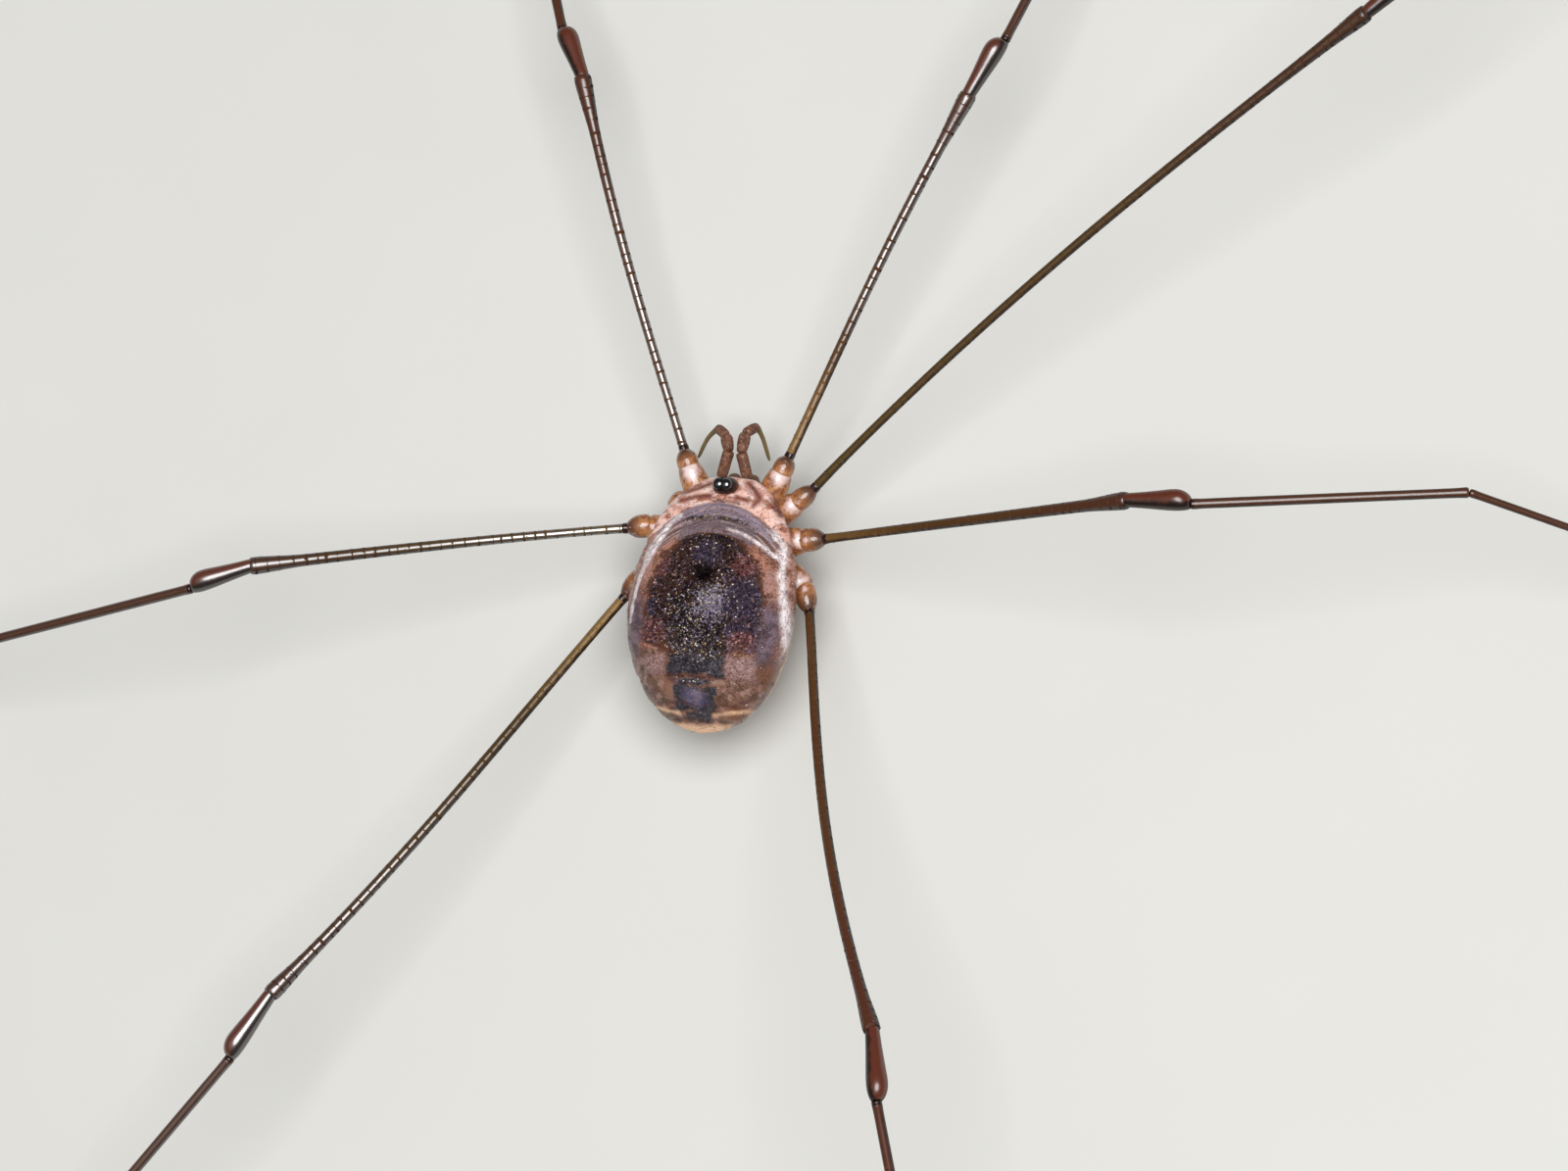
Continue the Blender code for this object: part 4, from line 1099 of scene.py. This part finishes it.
def femur_rings(length, girth, gain):
    """Thin and even, swollen just before the knee, with a collar and a step at its end."""
    rings = [(0.0, 0.080), (0.03, 0.098), (0.10, 0.102)]
    rings += [(length * k / 14, girth + gain * (k / 14) ** 1.5) for k in range(1, 13)]
    end = ((0.95, 0.132), (0.65, 0.152), (0.40, 0.172), (0.22, 0.182), (0.12, 0.186), (0.06, 0.180),
           (0.02, 0.160), (0.0, 0.130))
    return rings + [(length - back, r) for back, r in end]


def patella_rings(length):
    """Humped on its upper side, and rounded off abruptly."""
    shape = ((0.0, 0.105), (0.02, 0.132), (0.08, 0.148, 0.004), (0.22, 0.158, 0.010), (0.42, 0.180, 0.022),
             (0.60, 0.206, 0.034), (0.74, 0.224, 0.046), (0.84, 0.220, 0.046), (0.92, 0.190, 0.024),
             (0.97, 0.148, -0.004), (1.0, 0.105, -0.035))
    return [(at * length, *ring) for at, *ring in shape]


def even_rings(length, start, girth, gain, end):
    """A collar, a shaft that gets this much thicker, and another collar."""
    rings = list(start) + [(length * k / 10, girth + gain * k / 10) for k in range(1, 10)]
    return rings + [(length - back, r) for back, r in end]


def tibia_rings(length):
    return even_rings(length, ((0.0, 0.080), (0.02, 0.108), (0.10, 0.112), (0.16, 0.100)), 0.106, -0.006,
                      ((0.20, 0.102), (0.07, 0.112), (0.02, 0.108), (0.0, 0.075)))


def metatarsus_rings(length):
    return even_rings(length, ((0.0, 0.070), (0.02, 0.086), (0.10, 0.090), (0.16, 0.080)), 0.082, -0.020,
                      ((0.12, 0.063), (0.02, 0.068), (0.0, 0.050)))


RING_MAKERS = {"patella": patella_rings, "tibia": tibia_rings, "metatarsus": metatarsus_rings}
print("femora are", 2 * min(r for r, _ in GIRTH.values()), "mm thick or more")

# %% How polished, red and golden each leg is
POLISH = {  # coat along the femur, (share of its length, weight); the rest of the leg has the last weight
    ("left", 1): ((0.0, 1.0), (0.55, 0.8), (0.75, 0.30), (1.0, 0.20)),
    ("left", 3): ((0.0, 1.0), (0.30, 0.8), (0.50, 0.40), (0.75, 0.30), (1.0, 0.45)),
    ("left", 4): ((0.0, 0.04), (0.30, 0.08), (0.50, 0.25), (0.70, 0.5), (1.0, 0.6)),
    ("right", 1): ((0.0, 0.06), (0.30, 0.15), (0.45, 0.7), (0.97, 0.6), (1.0, 0.4)),
}
DUSTY = ((0.0, 0.10), (1.0, 0.18))  # the polish of the other legs
RED = {("left", 1): 0.30, ("right", 1): 0.20, ("right", 3): 0.18, ("right", 4): 0.35}  # the whole leg
SEGMENT_RED = {"femur": 0.0, "patella": 0.70, "tibia": 0.15, "metatarsus": 0.1}
GOLD = {("right", 1): 1.0, ("left", 4): 0.8, ("right", 3): 0.4, ("left", 3): 0.2}  # a femur's root
PAST_THE_KNEE = 0.85  # what the other segments count as, along a femur


def note_finish(piece, leg, segment):
    """Notes what the leg's material reads: some legs are worn or dusty, others red or golden."""
    along = np.array([at.value for at in piece.data.attributes["along"].data])
    is_femur = segment == "femur"
    note(piece, "polish", np.interp(along if is_femur else 1.0, *zip(*POLISH.get(leg, DUSTY))))
    note(piece, "teeth", 1.0 if is_femur else 0.0)
    note(piece, "shade", max(SEGMENT_RED[segment], RED.get(leg, 0.0)))
    note(piece, "gold", GOLD.get(leg, 0.0))
    if not is_femur:
        note(piece, "along", PAST_THE_KNEE)


print("polished legs:", len(POLISH))

# %% Model the segments of every leg
SEGMENT_SIDES = 20
HUMP_LEAN = 0.75  # how far the hump leans to the side, to 1 upwards
VISUAL_FLOOR_HEIGHT = 0.082  # of the metatarsus's end
FEMUR_GRAINS = 7  # in a millimetre
for (side, number), paths in legs.items():
    for segment in ("femur", "patella", "tibia", "metatarsus"):
        name = f"leg_{side}_{number}_{segment}"
        path = paths[segment]
        start, finish = path[0].copy(), path[-1].copy()
        out = (finish - start).normalized()
        lean = Vector((out.y, -out.x, 0)) * SIGN[side]
        upper = UP + lean.normalized() * HUMP_LEAN
        if segment == "patella":
            start -= out * 0.12
        if segment == "tibia":
            start -= upper.normalized() * 0.05
        if segment == "metatarsus":
            finish.z = VISUAL_FLOOR_HEIGHT
        if segment != "femur":
            path = [start, finish]
        length = (finish - start).length
        rings = femur_rings(length, *GIRTH[number]) if segment == "femur" else RING_MAKERS[segment](length)
        shell = grow(name + "_shell", rings, SEGMENT_SIDES)
        # which side of the tube each point lies on, for the painted shade along the sides
        note(shell, "flank", [abs(math.atan2(v.co.y, v.co.x)) / math.pi for v in shell.data.vertices])
        note(shell, "reach", [v.co.z for v in shell.data.vertices])
        lay(shell, path, upper if segment == "patella" else UP)
        if segment == "femur":
            sprinkle(shell, round(length * FEMUR_GRAINS), (0.010, 0.017), 0.0, top=-0.3)
        note_finish(shell, (side, number), segment)
        settle(shell, leg_chitin, "leg", name)
        if segment == "patella":
            socket = grow(name + "_socket", RING_RINGS, 20)
            next_way = (paths["tibia"][1] - paths["tibia"][0]).normalized()
            low_side = finish - upper.normalized() * 0.05
            lay(socket, [low_side - next_way * 0.03, low_side + next_way * 0.10], upper)
            settle(socket, black_joint, "leg")
leg_grains = scatter("leg_grains", bead_model, grain_places)
settle(leg_grains, grain_finish, "leg", crease=80)
print("leg segments:", 4 * len(legs), "with", len(grain_places), "teeth and grains")

# %% [markdown]
# ## Tarsi
# One link is modelled, an Array modifier strings it into a row, and the row is laid on the floor
# and thinned towards the claw. That is how the real tarsus is built too, link after link.

# %% Model the tarsi
LINK = 0.36
LINK_RINGS = ((0.0, 0.80), (0.12, 0.94), (0.55, 0.98), (0.88, 1.06), (1.0, 0.80))
TARSUS_RADIUS = 0.058
TARSUS_TIP = 0.028
FLOOR_GAP = 0.003


def radius_at(share):
    return TARSUS_RADIUS + (TARSUS_TIP - TARSUS_RADIUS) * share


tarsus_chitin = new_material("thin golden brown chitin")
fine = grain(0.06, 3)
colour = paint("#4A2C18", (total(read("along"), fine, 0.3), 0.1, 1.1, "#8A6234"))
sockets({"Base Color": colour, "Roughness": steps(fine, 1.2, 0.2)})
relief(fine, 0.006, 0.6)
for (side, number), paths in legs.items():
    name = f"leg_{side}_{number}_tarsus"
    length = LENGTHS[number][4]
    links = round(length / LINK)
    shell = grow(name + "_shell", LINK_RINGS, 12, length=length / links, rounded=False)
    string = shell.modifiers.new("string", "ARRAY")
    string.use_relative_offset, string.use_constant_offset = False, True
    string.constant_offset_displace = (0, 0, length / links)
    string.count = links
    only(shell)
    bpy.ops.object.modifier_apply(modifier="string")
    path = [p.copy() for p in paths["tarsus"]]
    for k, point in enumerate(path):
        point.z = radius_at(k / (len(path) - 1)) * 1.10 + FLOOR_GAP
    lay(shell, evenly(path, 120), taper=lambda share: radius_at(share) * min(1.0, 0.25 + (1 - share) * 60))
    settle(shell, tarsus_chitin, "tarsus", name, crease=60)
print("tarsal links per leg:", {n: round(LENGTHS[n][4] / LINK) for n in LENGTHS})

# %% [markdown]
# ## Palps
# The two pedipalps are short arms beside the mouth: a femur, a swollen patella, a tibia and a thin,
# glassy tarsus with one claw. The animal holds them up and bent like elbows before its face.

# %% The palps' material
palp_chitin = new_material("mottled reddish chitin")
mottle = grain(0.09, 4)
fine = grain(0.035, 3)
colour = paint("#4E2C1A", (mottle, 0.38, 0.62, "#7C5038"), (fine, 0.62, 0.70, "#C4A69C"))
sockets({"Base Color": blend(read("shade"), colour, "#6E6236"), "Roughness": steps(fine, 1.0, 0.2),
         "Subsurface Weight": 0.15, "Subsurface Scale": 0.1 * MM})
relief(total(fine, mottle, 0.8), 0.014, 0.8)
print("nodes in the palps' material:", len(tree.nodes))

# %% Model the palps
PALP_LINES = {
    "left": ((0.35, -2.70, 1.66), (0.18, -3.21, 1.92), (0.31, -3.55, 1.85), (0.59, -3.74, 1.55),
             (1.18, -3.24, 0.78)),
    "right": ((-0.22, -2.70, 1.66), (-0.09, -3.19, 1.92), (-0.10, -3.62, 1.85), (-0.22, -3.84, 1.50),
              (-0.36, -3.29, 0.78)),
}
PALP_SHAPES = {
    "femur": ((0.0, 0.085), (0.04, 0.115), (0.30, 0.122), (0.65, 0.120), (0.90, 0.128), (0.98, 0.115),
              (1.0, 0.080)),
    "patella": ((0.0, 0.085), (0.05, 0.108), (0.40, 0.128), (0.70, 0.135), (0.92, 0.118), (1.0, 0.080)),
    "tibia": ((0.0, 0.080), (0.06, 0.105), (0.40, 0.112), (0.80, 0.108), (0.95, 0.095), (1.0, 0.070)),
    "tarsus": ((0.0, 0.055), (0.04, 0.066), (0.15, 0.054), (0.35, 0.046), (0.55, 0.044), (0.75, 0.042),
               (0.92, 0.036), (0.97, 0.026), (1.0, 0.010)),
}
for side, line in PALP_LINES.items():
    joints = [Vector(p) for p in line]
    for start, finish, (segment, shape) in zip(joints, joints[1:], PALP_SHAPES.items()):
        shell = grow(f"palp_{side}_{segment}_shell", shape, 20, length=(finish - start).length)
        is_tarsus = segment == "tarsus"  # it is bent, and glassy
        bend = Vector((0, -0.09, 0.06)) if is_tarsus else Vector((0, 0, 0))
        path = rounded_path([start, (start + finish) / 2 + bend, finish], 10)
        lay(shell, path, Vector((1, 0, 0)) if is_tarsus else UP)
        note(shell, "shade", 0.75 if is_tarsus else 0.0)
        settle(shell, palp_chitin, "palp", f"palp_{side}_{segment}")
print("palp segments:", 2 * len(PALP_SHAPES))

# %% [markdown]
# ## Jaws
# Below the palps hang the chelicerae, two small pincers: a stalk that reaches forward, a hand that
# hangs from it, and a fixed and a moving finger with dark tips.

# %% Model the jaws
JAW_LINES = {
    "stalk": (((0.18, -2.30, 1.42), (0.20, -2.55, 1.44), (0.20, -2.76, 1.36)), (0.12, 0.14, 0.145, 0.13, 0.07)),
    "hand": (((0.20, -2.70, 1.42), (0.20, -2.75, 1.26), (0.18, -2.78, 1.06), (0.14, -2.76, 0.80)),
             (0.07, 0.13, 0.14, 0.12, 0.08, 0.05, 0.02)),
    "finger": (((0.23, -2.77, 1.14), (0.25, -2.74, 0.96), (0.18, -2.71, 0.80)), (0.05, 0.065, 0.055, 0.04, 0.015)),
}
for side in SIGN:
    parts = []
    for part, (line, radii) in JAW_LINES.items():
        path = rounded_path([on_side(p, side) for p in line], 12)
        length = sum((b - a).length for a, b in zip(path, path[1:]))
        rings = [(length * k / (len(radii) - 1), r) for k, r in enumerate(radii)]
        parts.append(grow(f"jaw_{side}_{part}", rings, 16))
        lay(parts[-1], path, Vector((1, 0, 0)))
        note(parts[-1], "shade", 0.15)
    only(parts[0])
    for part in parts[1:]:
        part.select_set(True)
    bpy.ops.object.join()
    parts[0].name = "jaw_" + side
    settle(parts[0], palp_chitin, "palp", "chelicera_" + side)
print("jaws: 2")

# %% [markdown]
# ## The underside
# Between the coxae lies the genital plate, a broad tongue that reaches forward from the belly
# nearly to the mouth. It is hardly seen, but the animal is looked at from all sides.

# %% Model the genital plate, and settle the skin
PLATE_HALF = (0.46, 1.55, 0.21)
PLATE_Y, PLATE_Z = -0.75, 1.45
plate = sphere("genital_plate", 48, 32, tilt=(90, 0, 0))
for v in plate.data.vertices:
    narrow = 0.62 + 0.38 * (v.co.y + 1) / 2  # towards the mouth
    v.co = Vector((v.co.x * PLATE_HALF[0] * narrow, PLATE_Y + v.co.y * PLATE_HALF[1],
                   PLATE_Z + v.co.z * PLATE_HALF[2] * narrow))
# a faint, even share of the coxae's pale mask, pale tissue and painted highlight
note(plate, "tissue_highlight", 0.2)
settle(plate, amber, "prosoma")
settle(skin, skin_finish, "opisthosoma", "prosoma", "opisthosoma", crease=80)
print("skin settled")

# %% [markdown]
# ## Floor and light
# A pale matt floor, a broad soft light overhead, and a round flash beside the camera, as in the
# photograph: its reflection is the bright line that runs along some of the legs.

# %% The floor
only()
bpy.ops.mesh.primitive_plane_add(size=2.0, location=(0, 0, 0))
floor = bpy.context.object
floor.name = "floor"
floor.data.materials.append(new_material("matt pale card"))
sockets({"Base Color": blend(grain(12.0), "#C9C8C3", "#D0CFCB"), "Roughness": 0.85, "IOR": 1.5})
print("floor, m:", tuple(floor.dimensions))

# %% The lights
FLASH_ABOVE, FLASH_LEFT = math.radians(8), math.radians(2)  # of the camera, seen from the animal


def lamp(name, way, distance, size, power):
    """An area light at this many millimetres from the body, on the side that the way points to."""
    only()
    bpy.ops.object.light_add(type="AREA")
    made = bpy.context.object
    made.name = name
    spot = (Vector((0, 0, 2)) + way.normalized() * distance + HOME) * MM
    made.matrix_world = Matrix.Translation(spot) @ way.to_track_quat("Z", "Y").to_matrix().to_4x4()
    made.data.size = size * MM
    made.data.energy = power
    return made


flash_way = toward + picture_up * math.tan(FLASH_ABOVE) - picture_right * math.tan(FLASH_LEFT)
flash = lamp("flash", flash_way, 200, 150, 0.53)
flash.data.shape = "DISK"
lamp("overhead", Vector((0.3, 0.2, 1)), 330, 330, 0.10)
sky = bpy.data.worlds.new("studio")
sky.use_nodes = True
background = sky.node_tree.nodes["Background"].inputs
background["Color"].default_value = linear("#E8ECF0")
background["Strength"].default_value = 0.12
bpy.context.scene.world = sky
bpy.context.scene.view_settings.view_transform = "Standard"
print("lights: flash and overhead")

# %% Remove the bead model
bpy.data.objects.remove(bead_model, do_unlink=True)
